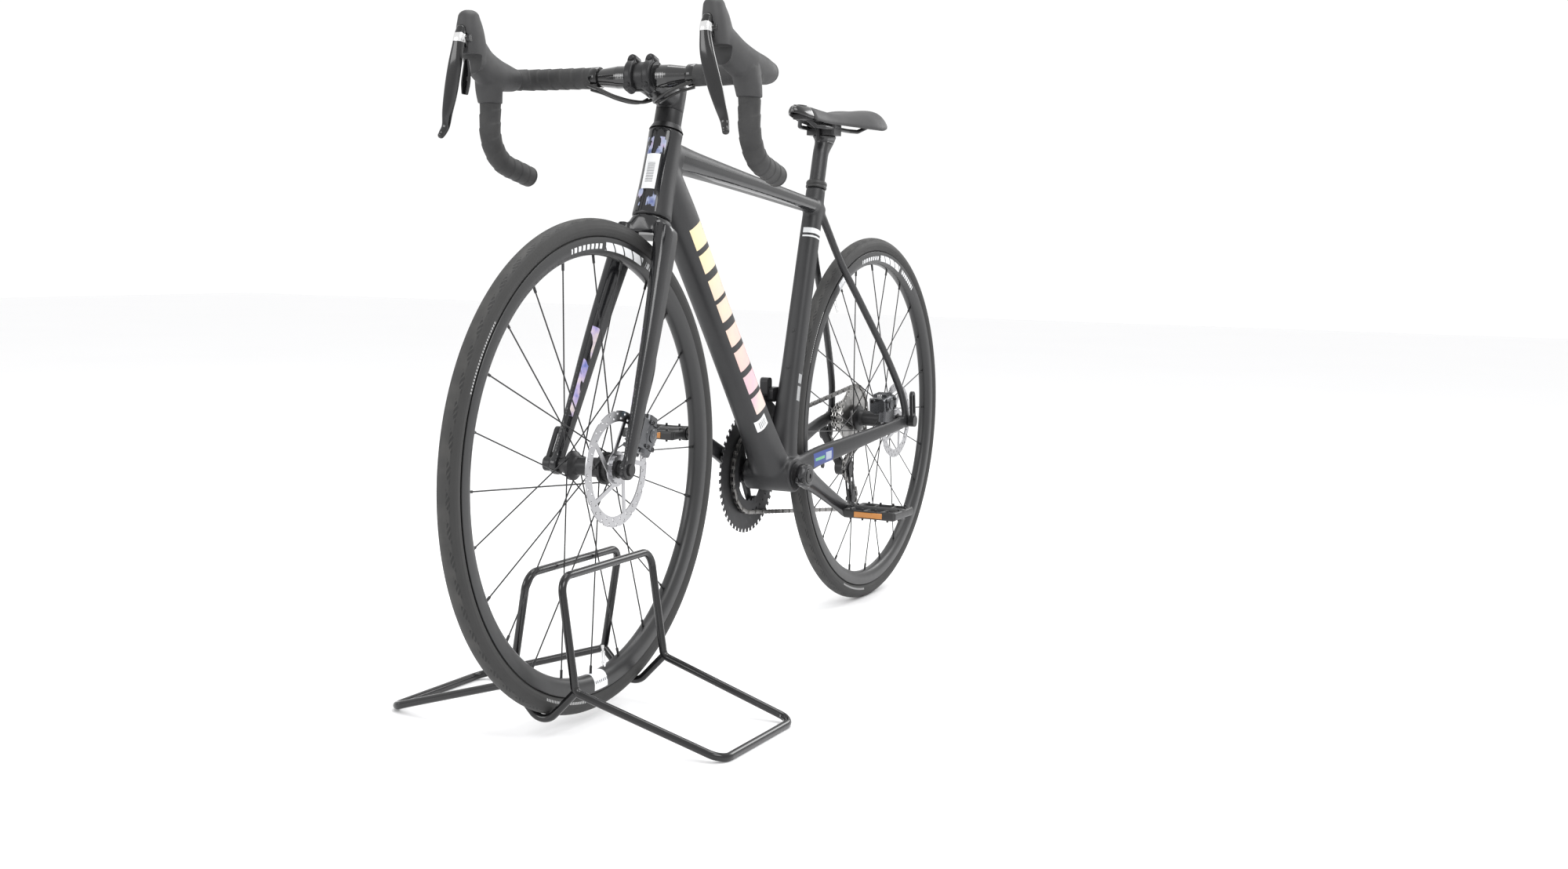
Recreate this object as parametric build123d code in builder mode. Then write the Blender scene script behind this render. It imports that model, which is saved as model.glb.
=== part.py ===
"""Road bicycle with disc brakes, its front wheel standing in a bent-rod floor stand.

Frame of the model: +X forward, +Y to the rider's left, +Z up. The origin lies on the
floor, halfway between the two wheel hubs. All sizes are in millimetres.
"""

import math
import os

from build123d import *

os.makedirs("parts", exist_ok=True)

# ---------------------------------------------------------------- driving dimensions
WHEELBASE = 986.0
WHEEL_R = 339.0
TYRE_R = 14.0
FRONT_LIFT = 13.0  # how far the stand's cradles hold the front wheel off the floor
HEAD_ANGLE = 72.5
RAKE = 48.0
BB_X, BB_Z = -81.0, 280.0
CRANK_LENGTH = 172.5
CRANK_ANGLE = 26.0  # left crank below the horizontal, pointing back
SEAT_ANGLE = 74.9
BAR_HALF_WIDTH = 205.0

HUB_F = Vector(WHEELBASE / 2, 0, WHEEL_R + FRONT_LIFT)
HUB_R = Vector(-WHEELBASE / 2, 0, WHEEL_R)
BB = Vector(BB_X, 0, BB_Z)
FRONT_OLD = 100.0
REAR_OLD = 142.0
AXLE_R = 6.0
RUN_FIT = 0.05  # radial clearance of a running fit
GAP = 0.35  # clearance between curved faces on different bodies

# steering axis
STEER_DIR = Vector(-math.cos(math.radians(HEAD_ANGLE)), 0, math.sin(math.radians(HEAD_ANGLE)))
STEER_FRONT = Vector(math.sin(math.radians(HEAD_ANGLE)), 0, math.cos(math.radians(HEAD_ANGLE)))
STEER_FOOT = HUB_F - STEER_FRONT * RAKE
HEAD_LOW = 372.0  # distances along the steering axis from its foot
HEAD_TOP = 505.0
SPACER_TOP = 535.0
STEM_MID = 555.0
STEM_TOP = 577.0
STEM_LENGTH = 82.0
STEERER_R = 14.3
HEAD_R = 25.0

# seat tube
SEAT_DIR = Vector(-math.cos(math.radians(SEAT_ANGLE)), 0, math.sin(math.radians(SEAT_ANGLE)))
SEAT_TOP = Vector(-233.0, 0, 758.0)
POST_R = 13.6
POST_HEAD_Z = 851.0
POST_BELOW = 190.0
BOSS_Z = 512.5  # height of the upper bottle-cage boss on the seat tube
BOSS_PITCH = 64.0
BOSS_R = 2.5

# transmission
RING_TEETH = (34, 50)
RING_Y = (-40.5, -47.0)
COG_TEETH = (30, 27, 24, 21, 19, 17, 15, 14, 13, 12, 11)
COG_Y = -28.6
COG_PITCH_Y = 3.72
CHAIN_PITCH = 12.7
PULLEY_TEETH = 11
GUIDE = Vector(-470.0, 0, 246.0)
TENSION = Vector(-487.0, 0, 187.0)
KNUCKLE_DROP = 32.0
KNUCKLE = HUB_R - Vector(0, 0, KNUCKLE_DROP)
PLATE_HEIGHT = 6.8
PLATE_T = 0.9
PLATE_OFFSET = 1.9
Q_HALF = 73.0

# stand
ROD_R = 5.5
STAND_HALF = 118.0
STAND_HOOP_Y = 26.0
STAND_HOOP_Z = 220.0
STAND_JOIN_Y = 50.0
STAND_FLOOR_Y = 262.0
STAND_FLOOR_HALF = 105.0
CRADLE_ANGLE = 46.0
CRADLE_BEND = 24.0

# handlebar
BAR_R = 11.9
BAR_CLAMP_R = 15.9
TAPE_R = 15.5
BAR_CENTRE = STEER_FOOT + STEER_DIR * STEM_MID + STEER_FRONT * STEM_LENGTH


def steer_point(along, front=0.0, side=0.0):
    """A point given by its distance along the steering axis, ahead of it and to its side."""
    return STEER_FOOT + STEER_DIR * along + STEER_FRONT * front + Vector(0, side, 0)


def seat_point(z):
    """The point on the seat tube's axis at height z."""
    return SEAT_TOP + SEAT_DIR * ((z - SEAT_TOP.Z) / SEAT_DIR.Z)


def pitch_radius(teeth):
    """The pitch radius of a sprocket."""
    return CHAIN_PITCH / 2 / math.sin(math.pi / teeth)


def across(point, y_from):
    """A plane facing +Y whose sketch x runs along -X, at a given y."""
    return Plane(origin=(point.X, y_from, point.Z), x_dir=(-1, 0, 0), z_dir=(0, 1, 0))


def turned(centre, profile):
    """A solid of revolution about the Y axis through centre, from (radius, y) points."""
    plane = Plane(origin=(centre.X, 0, centre.Z), x_dir=(1, 0, 0), z_dir=(0, 0, 1))
    with BuildPart() as body:
        with BuildSketch(plane):
            with BuildLine():
                Polyline(*profile, close=True)
            make_face()
        revolve(axis=Axis((centre.X, 0, centre.Z), (0, 1, 0)))
    return body.part


def rod(points, radii, radius):
    """A round rod along straight runs joined by tangent arcs."""
    with BuildPart() as body:
        with BuildLine() as path:
            FilletPolyline(*points, radius=radii)
        with BuildSketch(Plane(origin=path.line @ 0, z_dir=path.line % 0)):
            Circle(radius)
        sweep()
    return body.part


def pipe(points, radii, outer, inner):
    """A round tube along straight runs joined by tangent arcs."""
    with BuildPart() as body:
        with BuildLine() as path:
            FilletPolyline(*points, radius=radii)
        with BuildSketch(Plane(origin=path.line @ 0, z_dir=path.line % 0)):
            Circle(outer)
            Circle(inner, mode=Mode.SUBTRACT)
        sweep()
    return body.part


def lofted(stations):
    """A loft through rounded sections: (centre, direction, width, depth, corner radius)."""
    with BuildPart() as body:
        for centre, direction, width, depth, corner in stations:
            side = Vector(0, 1, 0)
            with BuildSketch(Plane(origin=centre, x_dir=side, z_dir=direction)):
                RectangleRounded(width, depth, min(corner, width / 2 - 0.1, depth / 2 - 0.1))
        loft()
    return body.part


def save(part, label):
    """Labels a finished piece and writes it."""
    part.label = label
    export_step(part, f"parts/{label}.step")


def both_sides(part):
    """The piece and its mirror image in the bicycle's middle plane."""
    with BuildPart() as pair:
        add(part)
        mirror(about=Plane.XZ)
    return pair.part


def flipped(part):
    """The mirror image of a piece in the bicycle's middle plane."""
    return mirror(part, about=Plane.XZ, mode=Mode.PRIVATE)


# ---------------------------------------------------------------- stand
CRADLE_REST = HUB_F.Z - math.sqrt((WHEEL_R + ROD_R + GAP) ** 2 - STAND_HALF**2)
CRADLE_RISE = CRADLE_BEND * (1 / math.cos(math.radians(CRADLE_ANGLE)) - 1)
CRADLE_CORNER = CRADLE_REST - CRADLE_RISE
STAND_JOIN_Z = CRADLE_CORNER + STAND_JOIN_Y * math.tan(math.radians(CRADLE_ANGLE))


def stand_side():
    """One closed rod loop: an upright hoop beside the wheel and a base out to the floor."""
    x_mid = HUB_F.X
    points = [
        (x_mid, STAND_HOOP_Y, STAND_HOOP_Z),
        (x_mid + STAND_HALF, STAND_HOOP_Y, STAND_HOOP_Z),
        (x_mid + STAND_HALF, STAND_JOIN_Y, STAND_JOIN_Z),
        (x_mid + STAND_FLOOR_HALF, STAND_FLOOR_Y, ROD_R),
        (x_mid, STAND_FLOOR_Y, ROD_R),
    ]
    with BuildPart() as body:
        add(rod(points, [22.0, 12.0, 22.0], ROD_R))
        mirror(about=Plane(origin=(x_mid, 0, 0), z_dir=(1, 0, 0)))
    return body.part


save(both_sides(stand_side()), "stand_sides")

with BuildPart() as stand_cradles:
    for x in (HUB_F.X - STAND_HALF, HUB_F.X + STAND_HALF):
        ends = [(x, STAND_JOIN_Y, STAND_JOIN_Z), (x, 0, CRADLE_CORNER), (x, -STAND_JOIN_Y, STAND_JOIN_Z)]
        add(rod(ends, CRADLE_BEND, ROD_R))
save(stand_cradles.part, "stand_cradles")


# ---------------------------------------------------------------- wheels
RIM_EDGE = 313.0
RIM_INNER = 289.0
RIM_HALF = 12.2
SPOKES = 24


def tyre(centre):
    """A clincher tyre: round outside, hollow for the tube, with its beads in the rim."""
    middle = WHEEL_R - TYRE_R
    wall = 2.2
    plane = Plane(origin=(centre.X, 0, centre.Z), x_dir=(1, 0, 0), z_dir=(0, 0, 1))
    with BuildPart() as body:
        with BuildSketch(plane):
            with Locations((middle, 0)):
                Circle(TYRE_R)
            with Locations((RIM_EDGE - 3.2, 0)):
                Rectangle(8.4, 18.6)
            with Locations((middle, 0)):
                Circle(TYRE_R - wall, mode=Mode.SUBTRACT)
            with Locations((RIM_EDGE - 3, 0)):
                Rectangle(12, 14, mode=Mode.SUBTRACT)
            with Locations((RIM_EDGE - 1.0, RIM_HALF + 1.7), (RIM_EDGE - 1.0, -RIM_HALF - 1.7)):
                Rectangle(5, 8.4, mode=Mode.SUBTRACT)
        revolve(axis=Axis((centre.X, 0, centre.Z), (0, 1, 0)))
    return body.part


def rim(centre):
    """A rim with hooked side walls, a centre well and a tapered spoke bed."""
    half = [
        (RIM_EDGE, RIM_HALF - 2.6),
        (RIM_EDGE + 0.4, RIM_HALF - 1.2),
        (RIM_EDGE, RIM_HALF - 0.2),
        (RIM_EDGE - 10, RIM_HALF),
        (RIM_EDGE - 17, RIM_HALF - 1.8),
        (RIM_INNER + 2, 6.5),
        (RIM_INNER, 4.0),
    ]
    well = [(RIM_EDGE - 10.5, -3.5), (RIM_EDGE - 10.5, 3.5), (RIM_EDGE - 8.0, RIM_HALF - 3.6)]
    well += [(RIM_EDGE - 8.0, RIM_HALF - 2.6)]
    outline = half + [(r, -y) for r, y in reversed(half)] + [(RIM_EDGE - 8.0, 2.6 - RIM_HALF)]
    outline += [(RIM_EDGE - 8.0, 3.6 - RIM_HALF)] + well
    return turned(centre, outline)


def spokes(centre, flanges):
    """Straight-pull spokes with nipples; flanges are (y, flange radius) for left and right.

    Leading and trailing spokes leave the flange 3.4 mm apart, so they pass without touching.
    """
    with BuildPart() as body:
        for number in range(SPOKES):
            side_y, flange_r = flanges[number % 2]
            pair = number // 2
            lead = 1 if pair % 2 else -1
            rim_angle = 2 * math.pi * number / SPOKES
            hub_angle = rim_angle + lead * math.radians(68)
            hub_y = side_y + 1.7 * lead
            hub_end = Vector(flange_r * math.cos(hub_angle), hub_y, flange_r * math.sin(hub_angle))
            rim_end = Vector(RIM_INNER * math.cos(rim_angle), 0, RIM_INNER * math.sin(rim_angle))
            rim_end = rim_end + (rim_end - hub_end).normalized() * 1.0
            run = rim_end - hub_end
            lift = Vector(centre.X, 0, centre.Z)
            with BuildSketch(Plane(origin=hub_end + lift, z_dir=run)):
                Circle(1.0)
            extrude(amount=run.length)
            with BuildSketch(Plane(origin=rim_end + lift, z_dir=-run)):
                Circle(1.9)
            extrude(amount=12)
    return body.part


def arm_slot(root, tip, width):
    """A straight round-ended arm between two points of the current sketch."""
    turn = math.degrees(math.atan2(tip[1] - root[1], tip[0] - root[0]))
    middle = ((root[0] + tip[0]) / 2, (root[1] + tip[1]) / 2, 0)
    with Locations(Location(middle, (0, 0, turn))):
        SlotCenterToCenter(math.dist(root, tip), width)


def rotor(centre, y, radius):
    """A centre-lock brake rotor: drilled braking band, curved-back arms and a splined carrier."""
    band = 15.0
    carrier = 21.5
    with BuildPart() as body:
        with BuildSketch(across(centre, y - 0.9)):
            Circle(radius)
            Circle(radius - band, mode=Mode.SUBTRACT)
            with PolarLocations(radius - 4.2, 24):
                Circle(2.1, mode=Mode.SUBTRACT)
            with PolarLocations(radius - 10.6, 24, start_angle=7.5):
                Circle(2.1, mode=Mode.SUBTRACT)
            with PolarLocations(radius + 2.2, 12, start_angle=3):
                Circle(4.0, mode=Mode.SUBTRACT)
            for number in range(5):
                angle = math.radians(72 * number)
                tip = (radius - band + 2) * math.cos(angle), (radius - band + 2) * math.sin(angle)
                root_angle = angle + math.radians(34)
                root = (carrier + 1) * math.cos(root_angle), (carrier + 1) * math.sin(root_angle)
                arm_slot(root, tip, 6.5)
            Circle(carrier + 3)
            Circle(17.2, mode=Mode.SUBTRACT)
        extrude(amount=1.8)
    return body.part


def rotor_with_ring(centre, y, radius):
    """A rotor and, as a second solid, the notched ring that holds it on its hub."""
    with BuildPart() as body:
        with BuildSketch(across(centre, y + 0.92)):
            Circle(20.0)
            Circle(12.6, mode=Mode.SUBTRACT)
            with PolarLocations(20.2, 16):
                Circle(1.5, mode=Mode.SUBTRACT)
        extrude(amount=3.3)
        add(rotor(centre, y, radius))
    return body.part


FRONT_ROTOR_Y = FRONT_OLD / 2 - 10.5
REAR_ROTOR_Y = REAR_OLD / 2 - 15.3
HUB_BORE = AXLE_R + RUN_FIT

front_hub_profile = [
    (HUB_BORE, 49.7), (9.5, 49.7), (9.5, 45.0), (12.0, 44.5), (12.0, 40.3), (17.0, 40.3), (17.0, 33.0),
    (19.0, 31.0), (19.0, 25.0), (22.5, 24.5), (22.5, 19.5), (14.0, 15.0), (12.5, -20.0), (14.0, -23.0),
    (20.5, -27.5), (20.5, -32.5), (13.0, -34.0), (11.5, -44.0), (9.5, -45.0), (9.5, -49.7),
    (HUB_BORE, -49.7),
]
save(tyre(HUB_F), "front_tyre")
save(rim(HUB_F), "front_rim")
save(spokes(HUB_F, ((22.0, 20.5), (-30.0, 18.5))), "front_spokes")
save(turned(HUB_F, front_hub_profile), "front_hub")
save(rotor_with_ring(HUB_F, FRONT_ROTOR_Y, 80.0), "front_rotor")

SPINDLE_R = 8.0
rear_hub_profile = [
    (HUB_BORE, 70.7), (9.5, 70.7), (9.5, 61.0), (12.0, 60.5), (12.0, 56.5), (17.0, 56.5), (17.0, 49.0),
    (19.0, 47.0), (19.0, 38.0), (22.5, 37.5), (22.5, 32.5), (15.0, 28.0), (14.0, -8.0), (16.0, -14.0),
    (24.0, -17.0), (24.0, -22.5), (18.0, -23.2), (SPINDLE_R, -23.2), (SPINDLE_R, -66.5), (9.5, -66.5),
    (9.5, -70.7), (HUB_BORE, -70.7),
]
save(tyre(HUB_R), "rear_tyre")
save(rim(HUB_R), "rear_rim")
save(spokes(HUB_R, ((35.0, 20.5), (-19.7, 22.0))), "rear_spokes")
save(turned(HUB_R, rear_hub_profile), "rear_hub")
save(rotor_with_ring(HUB_R, REAR_ROTOR_Y, 70.0), "rear_rotor")


def valve(centre, angle):
    """A long presta valve stem pointing from the rim towards the hub."""
    inward = Vector(-math.cos(angle), 0, -math.sin(angle))
    foot = Vector(centre.X, 0, centre.Z) - inward * (RIM_INNER - 0.5)
    sizes = ((2.9, 0.0, 22.0), (3.9, 4.0, 2.5), (1.6, 22.0, 7.0), (2.3, 27.0, 3.5))
    with BuildPart() as body:
        for radius, start, length in sizes:
            with BuildSketch(Plane(origin=foot + inward * start, z_dir=inward)):
                Circle(radius)
            extrude(amount=length)
    return body.part


save(valve(HUB_F, math.radians(-97)), "front_valve")
save(valve(HUB_R, math.radians(52.5)), "rear_valve")


# ---------------------------------------------------------------- through axles
def through_axle(centre, inner_half, thread_side):
    """A hollow-headed axle with a hex end on the left."""
    left = inner_half + 11.5
    right = inner_half + 11.0
    with BuildPart() as body:
        with BuildSketch(across(centre, -right)):
            Circle(AXLE_R)
        extrude(amount=left + right)
        with BuildSketch(across(centre, left - 0.1 if thread_side > 0 else -right - 3.1)):
            Circle(8.4)
        extrude(amount=3.0)
        with BuildSketch(across(centre, left + 1.0)):
            RegularPolygon(3.4, 6)
        extrude(amount=-9.0, mode=Mode.SUBTRACT)
    return body.part


def axle_lever(centre, side, inner_half, tilt):
    """The loop lever of a through axle, outside the frame end, at an angle from +Z towards -X."""
    inside = inner_half + 13.2
    direction = Vector(-math.sin(math.radians(tilt)), 0, math.cos(math.radians(tilt)))
    plane = Plane(origin=(centre.X, side * inside, centre.Z), x_dir=direction, z_dir=(0, side, 0))
    with BuildPart() as body:
        with BuildSketch(plane):
            Circle(10.5)
        extrude(amount=11.0)
        with BuildSketch(plane.offset(3.5)):
            with Locations((26, 0)):
                SlotCenterToCenter(44, 17)
            with Locations((32, 0)):
                SlotCenterToCenter(28, 8.5, mode=Mode.SUBTRACT)
        extrude(amount=5.5)
    return body.part


save(through_axle(HUB_F, FRONT_OLD / 2, 1), "front_axle")
save(axle_lever(HUB_F, -1, FRONT_OLD / 2, 30.0), "front_axle_lever")
save(through_axle(HUB_R, REAR_OLD / 2, -1), "rear_axle")
save(axle_lever(HUB_R, 1, REAR_OLD / 2, -8.0), "rear_axle_lever")


# ---------------------------------------------------------------- fork
CROWN_LOW = 345.0
leg_top = steer_point(HEAD_LOW - 14, 6, 28)
leg_end = Vector(HUB_F.X, 56.5, HUB_F.Z)


def leg_station(share, y, width, depth):
    """A section of the fork's left leg at a share of the way from the crown to the axle."""
    centre = leg_top + (leg_end - leg_top) * share
    direction = leg_end - leg_top
    return Vector(centre.X, y, centre.Z), direction, width, depth, min(width, depth) * 0.46


with BuildPart() as fork:
    add(lofted([
        (steer_point(HEAD_LOW - 0.5), STEER_DIR, 57, 57, 28.4),
        (steer_point(HEAD_LOW - 9), STEER_DIR, 66, 56, 26),
        (steer_point(CROWN_LOW), STEER_DIR, 84, 46, 20),
    ]))
    for part_side in (1, -1):
        leg = lofted([
            leg_station(0.0, 28, 34, 48),
            leg_station(0.12, 35, 25, 46),
            leg_station(0.5, 46.5, 20, 36),
            leg_station(0.99, 56.2, 10.2, 25),
        ])
        add(leg if part_side > 0 else flipped(leg))
        with BuildSketch(across(HUB_F, part_side * FRONT_OLD / 2)):
            Circle(14.0)
        extrude(amount=part_side * 11.4)
    with BuildSketch(across(HUB_F, -80)):
        Circle(AXLE_R)
    extrude(amount=160, mode=Mode.SUBTRACT)
    with BuildSketch(Plane(origin=steer_point(HEAD_LOW - 5), z_dir=STEER_DIR)):
        Circle(STEERER_R)
    extrude(amount=STEM_TOP - 2 - HEAD_LOW + 5)
    with BuildSketch(Plane(origin=steer_point(CROWN_LOW - 30), x_dir=(0, 1, 0), z_dir=STEER_DIR)):
        Rectangle(36, 90)
    extrude(amount=29.0, mode=Mode.SUBTRACT)
save(fork.part, "fork")

# ---------------------------------------------------------------- headset and stem
BEARING_R = 20.9
LOW_BEARING_R = 25.5


def steer_ring(start, end, outer, inner=STEERER_R):
    """A ring round the steerer."""
    with BuildPart() as body:
        with BuildSketch(Plane(origin=steer_point(start), z_dir=STEER_DIR)):
            Circle(outer)
            Circle(inner, mode=Mode.SUBTRACT)
        extrude(amount=end - start)
    return body.part


with BuildPart() as headset_bearings:
    add(steer_ring(HEAD_LOW + 0.3, HEAD_LOW + 7.5, LOW_BEARING_R))
    add(steer_ring(HEAD_TOP - 7.5, HEAD_TOP - 0.1, BEARING_R))
save(headset_bearings.part, "headset_bearings")

with BuildPart() as headset_spacers:
    with BuildSketch(Plane(origin=steer_point(HEAD_TOP + GAP), z_dir=STEER_DIR)):
        Circle(HEAD_R)
    with BuildSketch(Plane(origin=steer_point(HEAD_TOP + 9), z_dir=STEER_DIR)):
        Circle(20.6)
    loft()
    spacer_seams = (HEAD_TOP + 9, HEAD_TOP + 19.2, HEAD_TOP + 24.6, SPACER_TOP)
    for start, end in zip(spacer_seams, spacer_seams[1:]):
        with BuildSketch(Plane(origin=steer_point(start), z_dir=STEER_DIR)):
            Circle(20.0)
        extrude(amount=end - start)
    with BuildSketch(Plane(origin=steer_point(HEAD_TOP - 1), z_dir=STEER_DIR)):
        Circle(STEERER_R)
    extrude(amount=SPACER_TOP - HEAD_TOP + 2, mode=Mode.SUBTRACT)
save(headset_spacers.part, "headset_spacers")

CLAMP_HALF = 22.0
CLAMP_R = 20.6
with BuildPart() as stem:
    with BuildSketch(Plane(origin=steer_point(SPACER_TOP), z_dir=STEER_DIR)):
        Circle(20.0)
    extrude(amount=STEM_TOP - SPACER_TOP)
    add(lofted([
        (steer_point(STEM_MID, 6), STEER_FRONT, 38, 39, 16),
        (steer_point(STEM_MID, 38), STEER_FRONT, 36, 34, 15),
        (steer_point(STEM_MID, STEM_LENGTH - 10), STEER_FRONT, 42, 37, 14),
    ]))
    with BuildSketch(across(BAR_CENTRE, -CLAMP_HALF)):
        Circle(CLAMP_R)
    extrude(amount=2 * CLAMP_HALF)
    with BuildSketch(Plane(origin=steer_point(STEM_MID, STEM_LENGTH + 1), z_dir=STEER_FRONT)):
        Rectangle(80, 80)
    extrude(amount=40, mode=Mode.SUBTRACT)
    with BuildSketch(across(BAR_CENTRE, -50)):
        Circle(BAR_CLAMP_R)
    extrude(amount=100, mode=Mode.SUBTRACT)
    with BuildSketch(Plane(origin=steer_point(SPACER_TOP - 1), z_dir=STEER_DIR)):
        Circle(STEERER_R)
    extrude(amount=60, mode=Mode.SUBTRACT)
save(stem.part, "stem")

with BuildPart() as stem_top_cap:
    with BuildSketch(Plane(origin=steer_point(STEM_TOP), z_dir=STEER_DIR)):
        Circle(17.5)
    extrude(amount=3.2)
    fillet(stem_top_cap.edges().filter_by(GeomType.CIRCLE).sort_by(Axis.Z)[-1], 1.2)
    with BuildSketch(Plane(origin=steer_point(STEM_TOP + 3.2), z_dir=STEER_DIR)):
        RegularPolygon(2.9, 6)
    extrude(amount=-2.4, mode=Mode.SUBTRACT)
with BuildPart() as stem_faceplate:
    with BuildSketch(across(BAR_CENTRE, -CLAMP_HALF)):
        Circle(CLAMP_R)
    extrude(amount=2 * CLAMP_HALF)
    for rib_side in (1, -1):
        rib_root = steer_point(STEM_MID, STEM_LENGTH, rib_side * 14.5)
        with BuildSketch(Plane(origin=rib_root, x_dir=(0, 1, 0), z_dir=STEER_FRONT)):
            RectangleRounded(12.5, 46, 4.5)
        extrude(amount=19.0)
    with BuildSketch(Plane(origin=steer_point(STEM_MID, STEM_LENGTH + 3), z_dir=STEER_FRONT)):
        Rectangle(90, 90)
    extrude(amount=-60, mode=Mode.SUBTRACT)
    with BuildSketch(across(BAR_CENTRE, -50)):
        Circle(BAR_CLAMP_R)
    extrude(amount=100, mode=Mode.SUBTRACT)
save(stem_faceplate.part, "stem_faceplate")

with BuildPart() as stem_bolts:
    add(stem_top_cap.part)
    for rib_side in (1, -1):
        for height in (-20.0, 20.0):
            seat = steer_point(STEM_MID + height, STEM_LENGTH + 19.0, rib_side * 14.5)
            with BuildSketch(Plane(origin=seat, z_dir=STEER_FRONT)):
                Circle(2.9)
            extrude(amount=2.2)
save(stem_bolts.part, "stem_bolts")

# ---------------------------------------------------------------- handlebar
BAR_X, BAR_Z = BAR_CENTRE.X, BAR_CENTRE.Z
BAR_REACH = 79.0
TAPE_START = 76.0
DROP_LOW_Z = BAR_Z - 116.0
DROP_END = Vector(BAR_X - 12.0, BAR_HALF_WIDTH - 2, BAR_Z - 138.0)
bar_route = [
    (BAR_X, 0, BAR_Z),
    (BAR_X, BAR_HALF_WIDTH - 2, BAR_Z),
    (BAR_X + BAR_REACH, BAR_HALF_WIDTH, BAR_Z - 5),
    (BAR_X + BAR_REACH + 2, BAR_HALF_WIDTH + 2, DROP_LOW_Z),
    tuple(DROP_END),
]
bar_bends = [30.0, 30.0, 58.0]
with BuildPart() as handlebar:
    add(both_sides(rod(bar_route, bar_bends, BAR_R)))
    with BuildSketch(Plane(origin=(BAR_X, -42, BAR_Z), x_dir=(-1, 0, 0), z_dir=(0, 1, 0))):
        Circle(BAR_CLAMP_R)
    extrude(amount=84)
    for bar_side in (1, -1):
        with BuildSketch(Plane(origin=(BAR_X, bar_side * 42, BAR_Z), z_dir=(0, bar_side, 0))):
            Circle(BAR_CLAMP_R)
        with BuildSketch(Plane(origin=(BAR_X, bar_side * 74, BAR_Z), z_dir=(0, bar_side, 0))):
            Circle(BAR_R + 0.1)
        loft()
save(handlebar.part, "handlebar")

with BuildPart() as tape:
    with BuildSketch(Plane(origin=(BAR_X, TAPE_START, BAR_Z), z_dir=(0, 1, 0))):
        Circle(TAPE_R)
        Circle(BAR_R + 0.12, mode=Mode.SUBTRACT)
    extrude(amount=BAR_HALF_WIDTH - 34 - TAPE_START)
    add(pipe([
        (BAR_X + BAR_REACH + 0.7, BAR_HALF_WIDTH + 0.6, BAR_Z - 38),
        (BAR_X + BAR_REACH + 2, BAR_HALF_WIDTH + 2, DROP_LOW_Z),
        tuple(DROP_END),
    ], 58.0, TAPE_R, BAR_R + 0.12))
save(both_sides(tape.part), "bar_tape")

end_dir = (DROP_END - Vector(BAR_X + BAR_REACH + 2, BAR_HALF_WIDTH + 2, DROP_LOW_Z)).normalized()
with BuildPart() as end_plug:
    with BuildSketch(Plane(origin=DROP_END, z_dir=end_dir)):
        Circle(TAPE_R - 0.5)
    extrude(amount=3.5)
    fillet(end_plug.edges().filter_by(GeomType.CIRCLE).sort_by(Axis.X)[0], 1.8)
save(both_sides(end_plug.part), "bar_end_plugs")

# ---------------------------------------------------------------- brake and shift levers
LEVER_PIVOT = Vector(BAR_X + 166.0, BAR_HALF_WIDTH - 15, BAR_Z + 41.0)
LEVER_TIP = Vector(BAR_X + 172.0, BAR_HALF_WIDTH + 12, BAR_Z - 88.0)


def bar_point(dx, dy, dz):
    """A point placed from the left end of the handlebar's top."""
    return Vector(BAR_X + dx, BAR_HALF_WIDTH + dy, BAR_Z + dz)


hood_body = lofted([
    (bar_point(40, 0, -2), Vector(1, 0, 0), 36, 40, 15),
    (bar_point(78, -3, 0), Vector(1, -0.05, 0.12), 38, 46, 16),
    (bar_point(118, -8, 14), Vector(1, -0.1, 0.4), 34, 46, 15),
    (bar_point(146, -12, 28), Vector(1, -0.1, 0.5), 32, 40, 14),
])
hood_horn = lofted([
    (bar_point(138, -11, 18), Vector(0.3, -0.1, 1), 32, 50, 14),
    (bar_point(149, -14, 48), Vector(0.25, -0.05, 1), 33, 46, 15),
    (bar_point(153, -16, 76), Vector(0.1, 0, 1), 24, 28, 11),
])
with BuildPart() as shifter:
    add(hood_body)
    add(hood_horn)
    add(rod(bar_route, bar_bends, BAR_R + 0.12), mode=Mode.SUBTRACT)
    with BuildSketch(Plane(origin=LEVER_PIVOT + Vector(-9, 0, -31), z_dir=(0, 0, 1))):
        with Locations((25, 0)):
            Rectangle(50, 18.6)
    extrude(amount=42, mode=Mode.SUBTRACT)
    with BuildSketch(Plane(origin=LEVER_PIVOT + Vector(-27, 0, -60), z_dir=(0, 0, 1))):
        with Locations((35, 1)):
            Rectangle(70, 60)
    extrude(amount=45, mode=Mode.SUBTRACT)
    with BuildSketch(Plane(origin=LEVER_PIVOT - Vector(0, 16, 0), z_dir=(0, 1, 0))):
        Circle(2.0)
    extrude(amount=32)
save(both_sides(shifter.part), "shifters")

with BuildPart() as lever:
    add(lofted([
        (LEVER_PIVOT + Vector(2, 0, 9), Vector(0.2, 0, -1), 14, 16, 5),
        (LEVER_PIVOT + Vector(8, 1, -12), Vector(0.15, 0.1, -1), 14.5, 17, 5),
        (LEVER_PIVOT + Vector(12, 8, -50), Vector(0, 0.2, -1), 11, 15, 4.5),
        (LEVER_PIVOT + Vector(8, 18, -95), Vector(-0.1, 0.2, -1), 10, 11, 4),
        (LEVER_TIP + Vector(-2, -2, 8), Vector(0.1, 0.2, -1), 10, 9, 4),
        (LEVER_TIP, Vector(0.3, 0.2, -1), 11, 10, 4.5),
    ]))
    with BuildSketch(Plane(origin=LEVER_PIVOT - Vector(0, 20, 0), z_dir=(0, 1, 0))):
        Circle(2.0 + RUN_FIT)
    extrude(amount=40, mode=Mode.SUBTRACT)
save(lever.part, "brake_lever_left")
save(flipped(lever.part), "brake_lever_right")

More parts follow.
